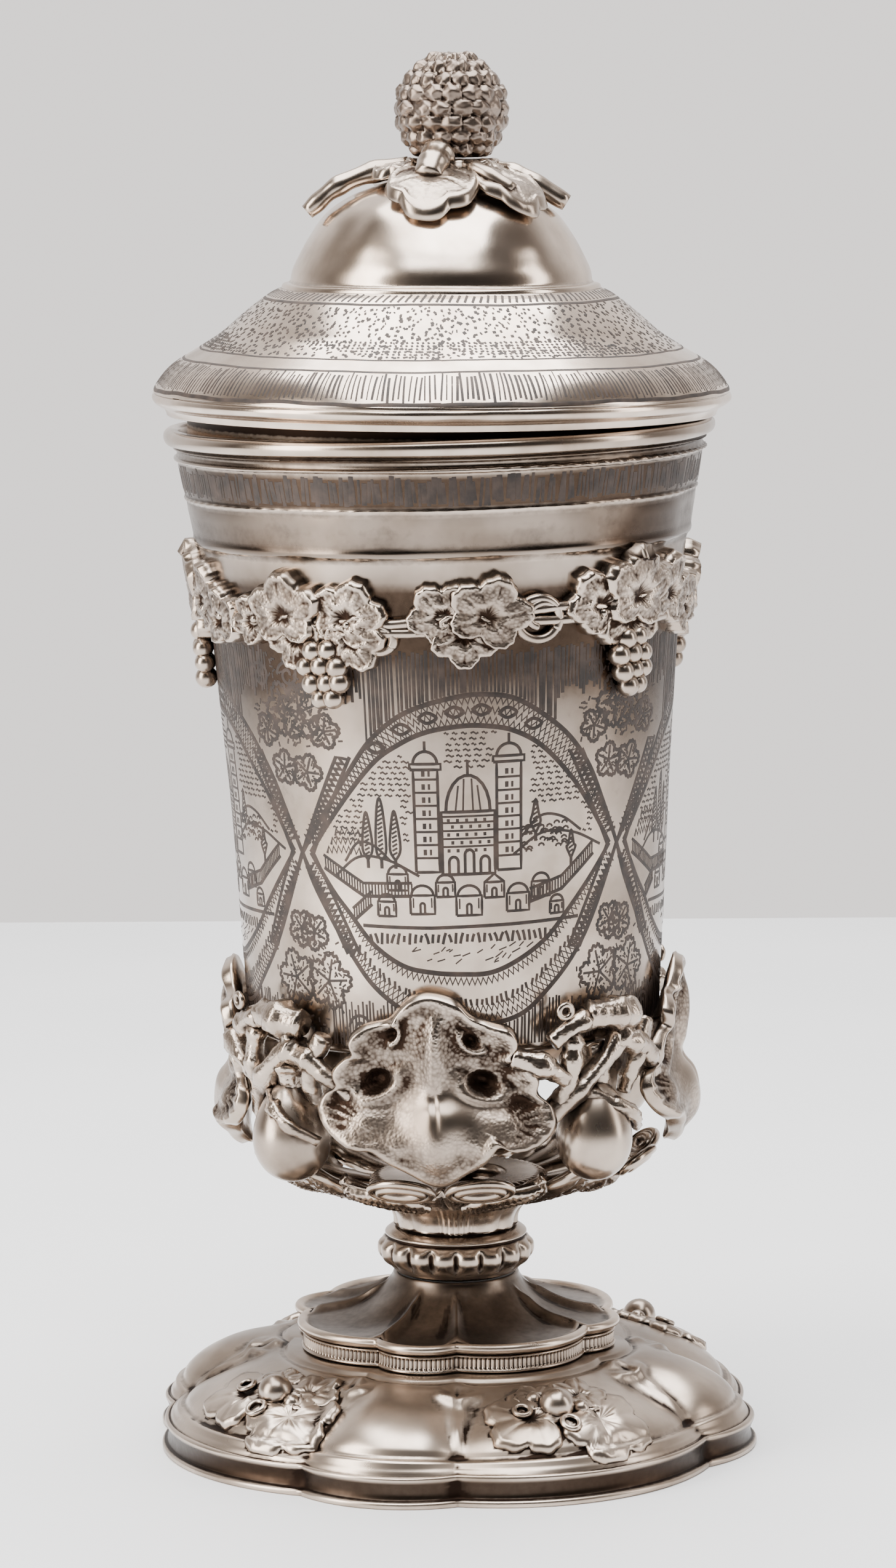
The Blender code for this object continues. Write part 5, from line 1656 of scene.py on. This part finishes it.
@dataclass
class FinialFruit:
    """Knobbly fruit, its scales standing in staggered rows."""

    radius: float = 10.4
    height: float = 22.0
    middle: tuple[float, float] = (1.8, 0.0)
    columns: int = 16
    rows: int = 9
    seat_z: float = 45.2

    def build(self) -> Shape:
        """Model the fruit from a dense ball, cut flat where it sits."""
        bm = bmesh.new()
        bmesh.ops.create_uvsphere(bm, u_segments=208, v_segments=124, radius=1)
        x, y, up = coordinates(bm).T
        angle, polar = np.arctan2(y, x), np.arccos(np.clip(up, -1, 1))
        level = polar / math.pi * self.rows * 1.25
        row = np.floor(level)
        wide = np.clip(np.sin(polar), 0.12, 1)
        across = angle / math.tau * self.columns + 0.5 * (row % 2)
        off_x = (across - np.round(across)) * 2
        off_y = (level - row - 0.5) * 2
        seed = 3.1 * np.round(across) + 5.3 * row
        away = 0.72 * (np.abs(off_x + 0.25 * np.sin(seed)) + np.abs(off_y))
        knob = np.clip(1 - away ** 1.6, 0, 1) ** 0.8
        facet = 0.26 * (np.sin(2.3 * seed) * off_x + np.cos(1.7 * seed) * off_y)
        rough = 0.07 * np.sin(23 * angle + 2 * level) * np.sin(11 * level)
        out = ((0.8 + 0.2 * np.sin(seed)) * knob + facet + rough) * ramp(wide, 0.1, 0.4) - 0.7
        body = self.radius * (1 - 0.10 * np.clip(up, 0, 1) ** 2) - 0.25
        tall = up * (0.5 * self.height - 0.3 + out)
        move_to(bm, columns(x * (body + out), y * (body + out), tall))
        low = -0.38 * self.height
        bmesh.ops.bisect_plane(bm, geom=bm.verts[:] + bm.edges[:] + bm.faces[:],
                               plane_co=(0, 0, low), plane_no=(0, 0, -1), clear_outer=True)
        bmesh.ops.translate(bm, verts=bm.verts, vec=(*self.middle, self.seat_z - low))
        return close_ends(bm)


# Engraving

STROKE = 2.1


class Etching:
    """Strokes of a graver, gathered flat in mm and then laid on a wall."""

    def __init__(self) -> None:
        """Start with no strokes."""
        self.strokes: list[tuple[Rows, float]] = []

    def line(self, points: Points, width: float = 0.22) -> None:
        """Cut one stroke along its points."""
        self.strokes.append((np.array(points, dtype=float), 0.5 * STROKE * width))

    def dash(self, x: float, y: float, across: float, up: float, width: float) -> None:
        """Cut one straight stroke from (x, y), so far across and up."""
        self.line([(x, y), (x + across, y + up)], width)

    def curve(self, points: Points, width: float = 0.22) -> None:
        """Cut one rounded stroke through its points."""
        self.line(smooth_line(points, 6), width)

    def box(self, x: float, half: float, low: float, high: float, width: float) -> None:
        """Cut a rectangle about x."""
        self.line([(x - half, low), (x - half, high), (x + half, high), (x + half, low),
                   (x - half, low)], width)

    def ray(self, x: float, y: float, way: float, length: float, width: float) -> None:
        """Cut one straight stroke of a length in a direction."""
        self.dash(x, y, length * math.cos(way), length * math.sin(way), width)

    def zigzag(self, points: Points, reach: float, pitch: float, width: float = 0.16) -> None:
        """Rock the graver to and fro along a path.

        Args:
            points: the path.
            reach: how far it swings to each side.
            pitch: length of a full swing.
            width: width of the stroke.
        """
        path = smooth_line(points, 6)
        run = run_along(path)
        count = max(3, int(run[-1] / pitch * 2))
        spots = np.linspace(0, run[-1], count)
        middle = np.stack([np.interp(spots, run, path[:, axis]) for axis in (0, 1)], axis=1)
        swing = np.where(np.arange(count) % 2, reach, -reach)[:, None]
        self.line(middle - outward(middle) * swing, width)

    def lay(self, wall: Wall, turns_deg: Sequence[float] = (0.0,), step: float = 1.5
            ) -> Shape:
        """Lay every stroke on the wall.

        Args:
            wall: the surface.
            turns_deg: where the whole drawing is repeated round the cup.
            step: longest straight part of a stroke that bends with the wall.

        Returns:
            Thin dark strips a hair over the surface.
        """
        curve = new_curve(0)
        curve.twist_mode = "Z_UP"
        for points, half in self.strokes:
            fine = [points[0]]
            for start, stop in zip(points, points[1:]):
                cuts = max(1, math.ceil(np.linalg.norm(stop - start) / step))
                fine += [start + (stop - start) * part / cuts for part in range(1, cuts + 1)]
            add_line(curve, [(*place, 0) for place in fine], half)
        flat = from_curve(curve)
        low = [face for face in flat.faces if face.calc_center_median().z < 0.01]
        bmesh.ops.delete(flat, geom=low, context="FACES")
        places = coordinates(flat)
        places[:, 2] = np.where(places[:, 2] > 0.01, 0.055, 0.02)
        pile = Pile()
        for turn in turns_deg:
            pile.add(move_to(flat.copy(), wall.lay(places, turn)))
        flat.free()
        return pile.bm


def arc(x: float, y: float, wide: float, tall: float, count: int = 12
        ) -> list[tuple[float, float]]:
    """Points over half an oval."""
    return [(x + wide * math.cos(turn), y + tall * math.sin(turn))
            for turn in np.linspace(0, math.pi, count)]


@dataclass
class BeakerEngraving:
    """Four almond-shaped views of a walled town, in ribbons, with hatching and leaves between.

    Lengths run round the wall at 40 mm radius; heights are over the beaker's bottom.
    """

    middle_deg: float = 3.5
    top_out: Table = (
        (-31.4, 35.6), (-25.4, 43.4), (-20.4, 50.2), (-16, 56), (-10.9, 60.2),
        (-5.8, 62.4), (0, 63.7), (4, 63.9), (8.9, 63.1), (14, 60.2), (19.7, 55.6),
        (24.2, 49.9), (27.4, 43.7), (31.4, 35.6))
    top_in: Table = (
        (-29.4, 35.7), (-24.2, 42.2), (-16, 51.7), (-10.9, 55.4), (-5.9, 57.6), (0, 58.5),
        (4.1, 58.4), (8.9, 57.4), (14.2, 54.4), (20, 48.7), (24, 43.6), (29.4, 35.7))
    low_out: Table = (
        (-31.4, 35.6), (-28.6, 28.9), (-21.6, 18), (-17.2, 12.4), (-11.6, 8.3), (-6.2, 6.6),
        (2.3, 5.7), (9.9, 7.1), (15.5, 11.2), (21.4, 17.2), (26, 24.4), (31.4, 35.6))
    low_in: Table = (
        (-29.4, 35.7), (-25, 29.2), (-21.4, 25.1), (-17, 20), (-11.6, 16.4),
        (-6.3, 15.2), (-1, 14.8), (4.5, 14.9), (9.8, 16.9), (15.3, 20.4), (20, 25.2),
        (25, 30.6), (29.4, 35.7))
    skyline: Table = ((-10, -3.2, 56.5), (4.4, 11.6, 56.5), (-4.8, 6.2, 50.5),
                      (-18.6, -11.2, 46), (9.5, 22.5, 44))

    def level(self, edge: Points, x: float) -> float:
        """Height of a ribbon's edge at x."""
        table = smooth_line(edge, 6)
        return float(np.interp(x, table[:, 0], table[:, 1]))

    def between_edges(self, low: Points, high: Points, share: float) -> list[tuple[float, float]]:
        """A path between a ribbon's two edges."""
        return [(x, (1 - share) * self.level(low, x) + share * self.level(high, x))
                for x in np.linspace(-28.8, 28.8, 40)]

    def ribbons(self, cut: Etching) -> None:
        """The ribbons round one view, filled with rocked zigzags."""
        for edge in (self.top_out, self.top_in, self.low_out, self.low_in):
            cut.curve(edge, 0.42)
        for low, high, shares in ((self.top_in, self.top_out, (0.17, 0.5, 0.83)),
                                  (self.low_out, self.low_in, (0.14, 0.32, 0.86))):
            for share in shares:
                cut.zigzag(self.between_edges(low, high, share), 0.62, 1.02, 0.26)
        rng = random.Random(5)
        for x in np.arange(-20, 21, 0.95):
            level = 0.55 * self.level(self.low_out, x) + 0.45 * self.level(self.low_in, x)
            tall = rng.uniform(0.5, 0.9)
            cut.dash(x, level - tall, rng.uniform(-0.3, 0.3), 2 * tall, 0.24)
        for x in np.arange(-15, 16, 4.6):
            level = 0.5 * (self.level(self.top_out, x) + self.level(self.top_in, x))
            cut.curve([(x - 1.6, level), (x, level + 0.9), (x + 1.6, level),
                       (x, level - 0.9), (x - 1.6, level)], 0.3)
        for side in (-1, 1):
            for rise in (-1, 1):
                for off in (31.4, 34):
                    cut.dash(side * off, 35.6, side * 9, rise * 17.5, 0.34)
                cut.zigzag([(side * 32.7, 35.6 + rise * 2.2), (side * 37.3, 35.6 + rise * 9.5),
                            (side * 41.7, 35.6 + rise * 17.5)], 0.95, 1.05, 0.26)

    def town(self, cut: Etching, rng: random.Random) -> None:
        """A generic walled town on a hill, with towers, a domed hall and cypresses."""
        for x, top, half in ((-6.4, 55, 2.1), (8.2, 56, 2.2)):
            cut.box(x, half, 33, top - 4, 0.26)
            for level in np.arange(35.5, top - 4.5, 2.3):
                cut.dash(x - half, level, 2 * half, 0, 0.2)
                cut.dash(x - 0.4, level + 0.5, 0, 1, 0.3)
                cut.dash(x + 0.6, level + 0.5, 0, 1, 0.2)
            cut.box(x, half + 0.6, top - 4, top - 3, 0.26)
            cut.line(arc(x, top - 3, half, 2.2), 0.26)
            cut.dash(x, top - 0.8, 0, 1.8, 0.24)
        cut.box(0.9, 4.7, 32.5, 43.5, 0.28)
        cut.line(arc(0.9, 43.5, 3.9, 6.4), 0.28)
        for turn in np.radians((50, 75, 105, 130)):
            cut.line([(0.9 + 3.4 * math.cos(turn), 43.8),
                      (0.9 + 2.6 * math.cos(turn), 43.5 + 6 * math.sin(turn))], 0.16)
        cut.dash(0.9, 49.9, 0, 2.7, 0.24)
        for x in (-1.8, 1, 3.8):
            tall = 3.4 if x == 1 else 2.2
            cut.line([(x - 0.8, 32.5), (x - 0.8, 32.5 + tall), *arc(x, 32.5 + tall, -0.8, 0.9),
                      (x + 0.8, 32.5)], 0.26)
        for row, level in enumerate((37.4, 38.8, 40.2, 41.6, 42.7)):
            cut.dash(-3.8, level, 9.4, 0, 0.18)
            for x in np.arange(-2.6 + 0.7 * (row % 2), 5.4, 1.6):
                cut.dash(x, level - 1, 0, 0.6, 0.26)
        for x, low, high in ((-17.4, 34, 43.5), (-14.8, 34, 46), (-12.2, 34, 43.8),
                             (13.2, 38, 45), (20.4, 33, 39)):
            cut.curve([(x, low + 1), (x - 0.95, low + 3), (x - 0.6, high - 2.5), (x, high),
                       (x + 0.6, high - 2.5), (x + 0.95, low + 3), (x, low + 1)], 0.24)
            for level in np.arange(low + 2, high - 1, 0.75):
                cut.dash(x - 0.5, level, 0.9, 0.5, 0.18)
            cut.dash(x, low - 0.4, 0, 1.4, 0.3)
        for start, stop, height in ((-24, -8, 35.5), (9, 27, 39), (10.5, 22.5, 42),
                                    (-22, -13, 38)):
            cut.curve([(start, height - 3.4), (start + 0.3 * (stop - start), height),
                       (start + 0.65 * (stop - start), height - 0.4), (stop, height - 3.2)], 0.24)
        for _ in range(46):
            x, height = rng.uniform(10.5, 20.5), rng.uniform(35.5, 40.5)
            cut.line(arc(x, height, 0.55, 0.5, 5), 0.18)
        for x, low, size in ((-12, 29.8, 1.9), (-7.6, 25.6, 2.2), (-3.4, 28.6, 1.7),
                             (0.8, 25.2, 2.3), (5.4, 28.2, 1.8), (9.8, 25.6, 2.1),
                             (14.2, 27.8, 1.8), (-14.2, 25.2, 1.7), (17.4, 24.6, 1.4)):
            cut.box(x, size, low, low + 1.5 * size, 0.24)
            if rng.random() < 0.6:
                cut.line(arc(x, low + 1.5 * size, 0.9 * size, 0.8 * size), 0.24)
            else:
                cut.line([(x - size, low + 1.5 * size), (x, low + 2.3 * size),
                          (x + size, low + 1.5 * size)], 0.24)
            cut.line([(x - 0.4, low), (x - 0.4, low + 0.7 * size),
                      *arc(x, low + 0.7 * size, -0.4, 0.4), (x + 0.4, low)], 0.22)
            for off in np.arange(-0.75, 0.9, 0.5):
                if abs(off) > 0.3:
                    cut.dash(x + off * size, low + 0.5 * size, 0, 0.8 * size, 0.14)
        for path in (((-26.6, 33.2), (-18.6, 28.6), (-9.4, 28.8)),
                     ((25.4, 34.4), (18.4, 28.8), (12, 27)),
                     ((-21, 24), (-17, 27.2))):
            start = np.array(path)
            cut.line(start, 0.3)
            cut.line(start + np.array([0, 2.3]), 0.26)
            run = run_along(start)
            for spot in np.arange(0.4, run[-1], 0.62):
                x, low = (np.interp(spot, run, values) for values in start.T)
                cut.dash(x, low, 0, 2.2, 0.15)
        cut.line([(-19, 23.4), (-6, 23.1), (8, 23.3), (22, 23.6)], 0.3)
        for x in np.arange(-17.5, 18, 1.05):
            tall = rng.uniform(0.55, 1.05)
            slant = rng.uniform(-0.35, 0.35)
            cut.line([(x - slant, 21.2 - tall), (x, 21.4), (x + slant, 21.2 + tall)], 0.26)
        for _ in range(26):
            x = rng.uniform(-12, 12)
            height = rng.uniform(16.4, 19.4)
            cut.dash(x, height, rng.uniform(0.6, 1.6), rng.uniform(0.2, 0.9), 0.12)

    def sky(self, cut: Etching, rng: random.Random) -> None:
        """Rows of small wavy dashes, with rocked rows low at the left."""
        for row, height in enumerate(np.arange(38.6, 57.5, 0.98)):
            x = -24 + 0.6 * (row % 2)
            while x < 24.5:
                length = rng.uniform(0.7, 1.5)
                clear = not any(left <= x <= right and height <= top
                                for left, right, top in self.skyline)
                if clear and height < self.level(self.top_in, x) - 0.9:
                    cut.line([(x, height), (x + 0.35 * length, height + 0.22),
                              (x + 0.7 * length, height - 0.12), (x + length, height + 0.1)],
                             0.17)
                x += length + rng.uniform(0.35, 0.8)
        for height in (36.4, 38, 39.6):
            cut.zigzag([(-26 + 0.6 * (height - 36), height), (-22, height + 0.3),
                        (-18.6, height)], 0.6, 0.95, 0.24)

    def spaces(self, cut: Etching, rng: random.Random) -> None:
        """Upright hatching over and under a view, with leaves in the corners."""
        for x in np.arange(-26.5, 26.6, 0.72):
            drawn = x + rng.uniform(-0.12, 0.12)
            top = 71.5 + rng.uniform(-0.8, 0.4)
            low = self.level(self.top_out, drawn) + 0.5
            if abs(x) > 17:
                low = max(low, 63.5 + rng.uniform(-1.6, 1.6))
            cut.line([(drawn, low), (drawn + rng.uniform(-0.15, 0.15), top)],
                     rng.uniform(0.16, 0.32))
            high = self.level(self.low_out, drawn) - 0.5
            if abs(x) > 15:
                high = min(high, 9 + rng.uniform(-1, 1))
            cut.line([(drawn, 1.8), (drawn + rng.uniform(-0.15, 0.15), high)],
                     rng.uniform(0.14, 0.22))
        leaves = ((-29.5, 60.5, 5.4, 0.4), (-24.6, 57.4, 3.4, 1.4), (30.2, 61, 5.2, 2),
                  (25, 57, 3.2, 0.9), (-34.2, 50.5, 3.4, 0.2), (34, 50, 3.6, 1.2),
                  (-27, 13, 5.4, 2.6), (27.5, 13, 5.4, 0.6), (-33, 22, 3.6, 1),
                  (33, 21.5, 3.6, 2.1))
        for x, height, size, turn in leaves:
            step = np.linspace(0, math.tau, 110)
            reach = size * (0.48 + 0.42 * abs(np.cos(2.5 * step)) ** 0.45
                            + 0.05 * np.sin(25 * step))
            cut.line(columns(x + reach * np.cos(step + turn),
                             height + reach * np.sin(step + turn)), 0.3)
            for vein in range(5):
                cut.ray(x, height, turn + vein * math.tau / 5, 0.75 * size, 0.22)
            for _ in range(int(9 * size)):
                way = rng.uniform(0, math.tau)
                reach = rng.uniform(0.2, 0.6) * size
                cut.ray(x + reach * math.cos(way), height + reach * math.sin(way),
                        way + 0.6, 0.5, 0.15)
        for x, height, side in ((-24, 66, 1), (24.4, 66.5, -1), (-31.4, 67, -1),
                                (-20.5, 5, -1), (20.8, 5.4, 1)):
            turn, reach = np.linspace((0, 2.5), (9.5, 0.5), 44).T
            cut.line(columns(x + side * reach * np.cos(turn), height + reach * np.sin(turn)), 0.28)
        for _ in range(240):
            side = rng.choice((-1, 1))
            x = side * rng.uniform(21.5, 36)
            height = rng.choice((rng.uniform(54, 70), rng.uniform(3, 20)))
            cut.ray(x, height, rng.uniform(0, math.pi), 0.9, 0.17)

    def build(self, wall: Wall) -> Shape:
        """Cut the four views and lay them on the beaker."""
        cut = Etching()
        rng = random.Random(41)
        self.ribbons(cut)
        self.town(cut, rng)
        self.sky(cut, rng)
        self.spaces(cut, rng)
        return cut.lay(wall, [self.middle_deg + 90 * number for number in range(4)])


@dataclass
class LipEngraving:
    """Upright strokes on the band under the lip."""

    low: float = 96.9
    high: float = 102.0

    def build(self, wall: Wall) -> Shape:
        """Cut the strokes all round."""
        cut = Etching()
        rng = random.Random(9)
        x = 0
        while x < FULL_TURN_MM - 0.6:
            low = self.low + rng.uniform(-0.3, 0.9)
            high = self.high - rng.uniform(-0.2, 1.2)
            cut.line([(x, low), (x + rng.uniform(-0.4, 0.4), high)], rng.uniform(0.2, 0.42))
            x += rng.uniform(0.55, 1)
        return cut.lay(wall)


@dataclass
class LidEngraving:
    """Hatching, lines and punched dashes on the lid's flange."""

    def build(self, wall: Wall) -> Shape:
        """Cut the work all round; heights are lengths up from the rim."""
        cut = Etching()
        rng = random.Random(17)
        around = FULL_TURN_MM
        for x in np.arange(0, around, 0.72):
            low, high = 1 + rng.uniform(0, 0.8), 7.4 + rng.uniform(-0.9, 0.4)
            cut.line([(x, low), (x + rng.uniform(-0.25, 0.25), high)], rng.uniform(0.08, 0.2))
        for level, wave, width in ((0.6, 0.12, 0.34), (8.1, 0.06, 0.26), (11.6, 0.08, 0.2),
                                   (26, 0.05, 0.3)):
            ring = [(x, level + wave * math.sin(0.31 * x) + 0.5 * wave * math.sin(0.83 * x))
                    for x in np.linspace(0, around, 260)]
            cut.line(ring, width)
        for level in np.arange(12.4, 25.8, 0.9):
            for x in np.arange(0, around, 1.4):
                spot = (x + rng.uniform(-0.8, 0.8), level + rng.uniform(-0.45, 0.45))
                way = rng.uniform(-0.5, 0.9)
                size = rng.uniform(0.25, 0.75)
                if rng.random() < 0.82:
                    cut.ray(*spot, way, size, rng.uniform(0.22, 0.36))
        for level in np.arange(12.4, 16.5, 0.8):
            for x in np.arange(0, around, 0.95):
                if math.sin(0.11 * x + 0.4 * level) > -0.2:
                    cut.dash(x, level, 0.38, 0.16, 0.26)
        for x in np.arange(0, around, 1.75):
            cut.dash(x, 26.7, 1, 2.3 + rng.uniform(-0.4, 0.3), 0.3)
        return cut.lay(wall)


# Set and camera

@dataclass
class Studio:
    """Pale table, soft lights and the photo's camera."""

    back_edge: float = 0.57
    half_width: float = 1.6

    def lay_table(self) -> None:
        """A flat table top that ends behind the cup."""
        bm, across, along = grid_shape(8, 8)
        front = -2
        move_to(bm, columns(self.half_width * (across / 4 - 1),
                            front + along / 8 * (self.back_edge - front),
                            np.zeros(len(along))))
        new_object("table_top", bm, TABLE_WHITE.make())

    def hang_light(self, name: str, place: tuple[float, float, float], size: tuple[float, float],
                   watts: float, color: str = "#ffffff") -> None:
        """A rectangular soft box that looks at the cup."""
        lamp = bpy.data.lights.new(name, "AREA")
        lamp.shape = "RECTANGLE"
        lamp.size, lamp.size_y = size
        lamp.energy = watts
        lamp.color = linear(color)[:3]
        holder = new_holder(name, lamp)
        way = Vector((0, 0, 0.12)) - Vector(place)
        holder.matrix_world = (Matrix.Translation(place)
                               @ way.to_track_quat("-Z", "Y").to_matrix().to_4x4())

    def light_room(self) -> None:
        """Grey room: pale behind the cup, dark behind the camera."""
        world = bpy.data.worlds.new("room")
        bpy.context.scene.world = world
        recipe = Recipe(world, "Background")
        place = recipe.add("ShaderNodeTexCoord").outputs["Generated"]
        split = recipe.add("ShaderNodeSeparateXYZ", i0=place)
        back = recipe.math("MULTIPLY_ADD", split.outputs["Y"], 0.5, 0.5, clamp=False)
        shade = recipe.ramp(back, (0.10, "#16110e"), (0.55, "#443b35"), (0.86, "#f6f1ee"))
        recipe.shade(Color=shade, Strength=1.56)

    def set_camera(self) -> None:
        """Camera at the photo's height and distance."""
        lens = bpy.data.cameras.new("camera")
        lens.sensor_fit = "VERTICAL"
        lens.sensor_width = lens.sensor_height = 36
        lens.lens = 120.83
        camera = new_holder("camera", lens)
        camera.matrix_world = (Matrix.Translation((-0.00094, -0.93633, 0.2491))
                               @ Matrix.Rotation(math.radians(90 - 7.91), 4, "X")
                               @ Matrix.Rotation(math.radians(-0.34), 4, "Z"))
        bpy.context.scene.camera = camera

    def build(self) -> None:
        """Set everything round the cup."""
        self.lay_table()
        self.hang_light("left_box", (-0.75, -0.40, 0.42), (0.42, 0.9), 14, "#fff9f2")
        self.hang_light("right_box", (0.90, -0.15, 0.38), (0.22, 0.9), 4, "#fff9f4")
        self.hang_light("top_box", (0, -0.02, 1.05), (0.9, 1.3), 36)
        self.light_room()
        self.set_camera()


# The cup

class SilverCup:
    """The whole covered cup."""

    def build(self) -> None:
        """Build every piece from the foot up."""
        sheet = Silver("raised_silver_polished").make()
        # The foot and dish take a darker brown: there it is mostly painted dark reflection and
        # painted shade.
        footed = Silver("raised_silver_foot", brown="#362b23", smooth=0.27, hammer=0.12).make()
        cast = Silver("cast_silver_patinated", bright="#b9aa9c", dull="#75675b", smooth=0.22,
                      rough=0.50, patina_and_shade_from=0.31, patina_and_shade_to=0.76, dots_mm=0.66,
                      patina_and_shade="#2e221b").make()
        aged = Silver("cast_silver_fruit", bright="#8d7f74", dull="#5d5047", smooth=0.3,
                      rough=0.5, patina_and_shade_from=0.30, patina_and_shade_to=0.75).make()
        groove = GROOVE.make()
        foot, dish, beaker, lid = FootBase(), FootDish(), Beaker(), Lid()
        pile = Pile()
        pile.add(foot.build())
        foot.dress(pile)
        finish("foot_base_silver", pile.bm, footed, Slot.RAISED,
               depth_mm=0.6, rounds=13, rays=7, tarnish_and_shade=foot.tarnish_and_shade)
        finish("foot_gallery_silver", FootGallery().build(), cast, Slot.CAST, depth_mm=0.2,
               rounds=6)
        finish("foot_dish_silver", dish.build(), footed, Slot.RAISED,
               depth_mm=0.5, rounds=12, rays=7, tarnish_and_shade=dish.tarnish_and_shade)
        finish("knop_ring_silver", KnopRing().build(), cast, Slot.CAST, depth_mm=0.4,
               rounds=12, rays=7)
        finish("stem_silver", Stem().build(), cast, Slot.CAST, depth_mm=0.3, rounds=7)
        cup = cup_place()
        finish("calyx_silver", Calyx().build(), cast, Slot.CAST, cup,
               depth_mm=0.55, rounds=6, rays=9)
        wall = beaker.side()
        finish("beaker_silver", beaker.build(), sheet, Slot.RAISED, cup,
               depth_mm=0.25, rounds=4, tarnish_and_shade=beaker.tarnish_and_shade)
        finish("vine_band_silver", VineBand().build(wall), cast, Slot.CAST, cup,
               depth_mm=0.35, rounds=6, rays=9)
        finish("beaker_engraving", BeakerEngraving().build(wall), groove, Slot.RAISED, cup)
        finish("lip_engraving", LipEngraving().build(wall), groove, Slot.RAISED, cup)
        top = lid_place()
        finish("lid_silver", lid.build(), sheet, Slot.RAISED, top, depth_mm=0.25, rounds=4)
        finish("lid_engraving", LidEngraving().build(lid.side()), groove, Slot.RAISED, top)
        finish("finial_spray_silver", FinialSpray().build(lid), cast, Slot.CAST,
               top, depth_mm=0.4, rounds=7, rays=9)
        finish("finial_fruit_silver", FinialFruit().build(), aged, Slot.CAST, top,
               depth_mm=0.2, rounds=9)


def main() -> None:
    """Build the model and its set."""
    logging.basicConfig(level=logging.INFO, format="%(name)s %(message)s")
    SilverCup().build()
    Studio().build()


if __name__ == "__main__":
    main()
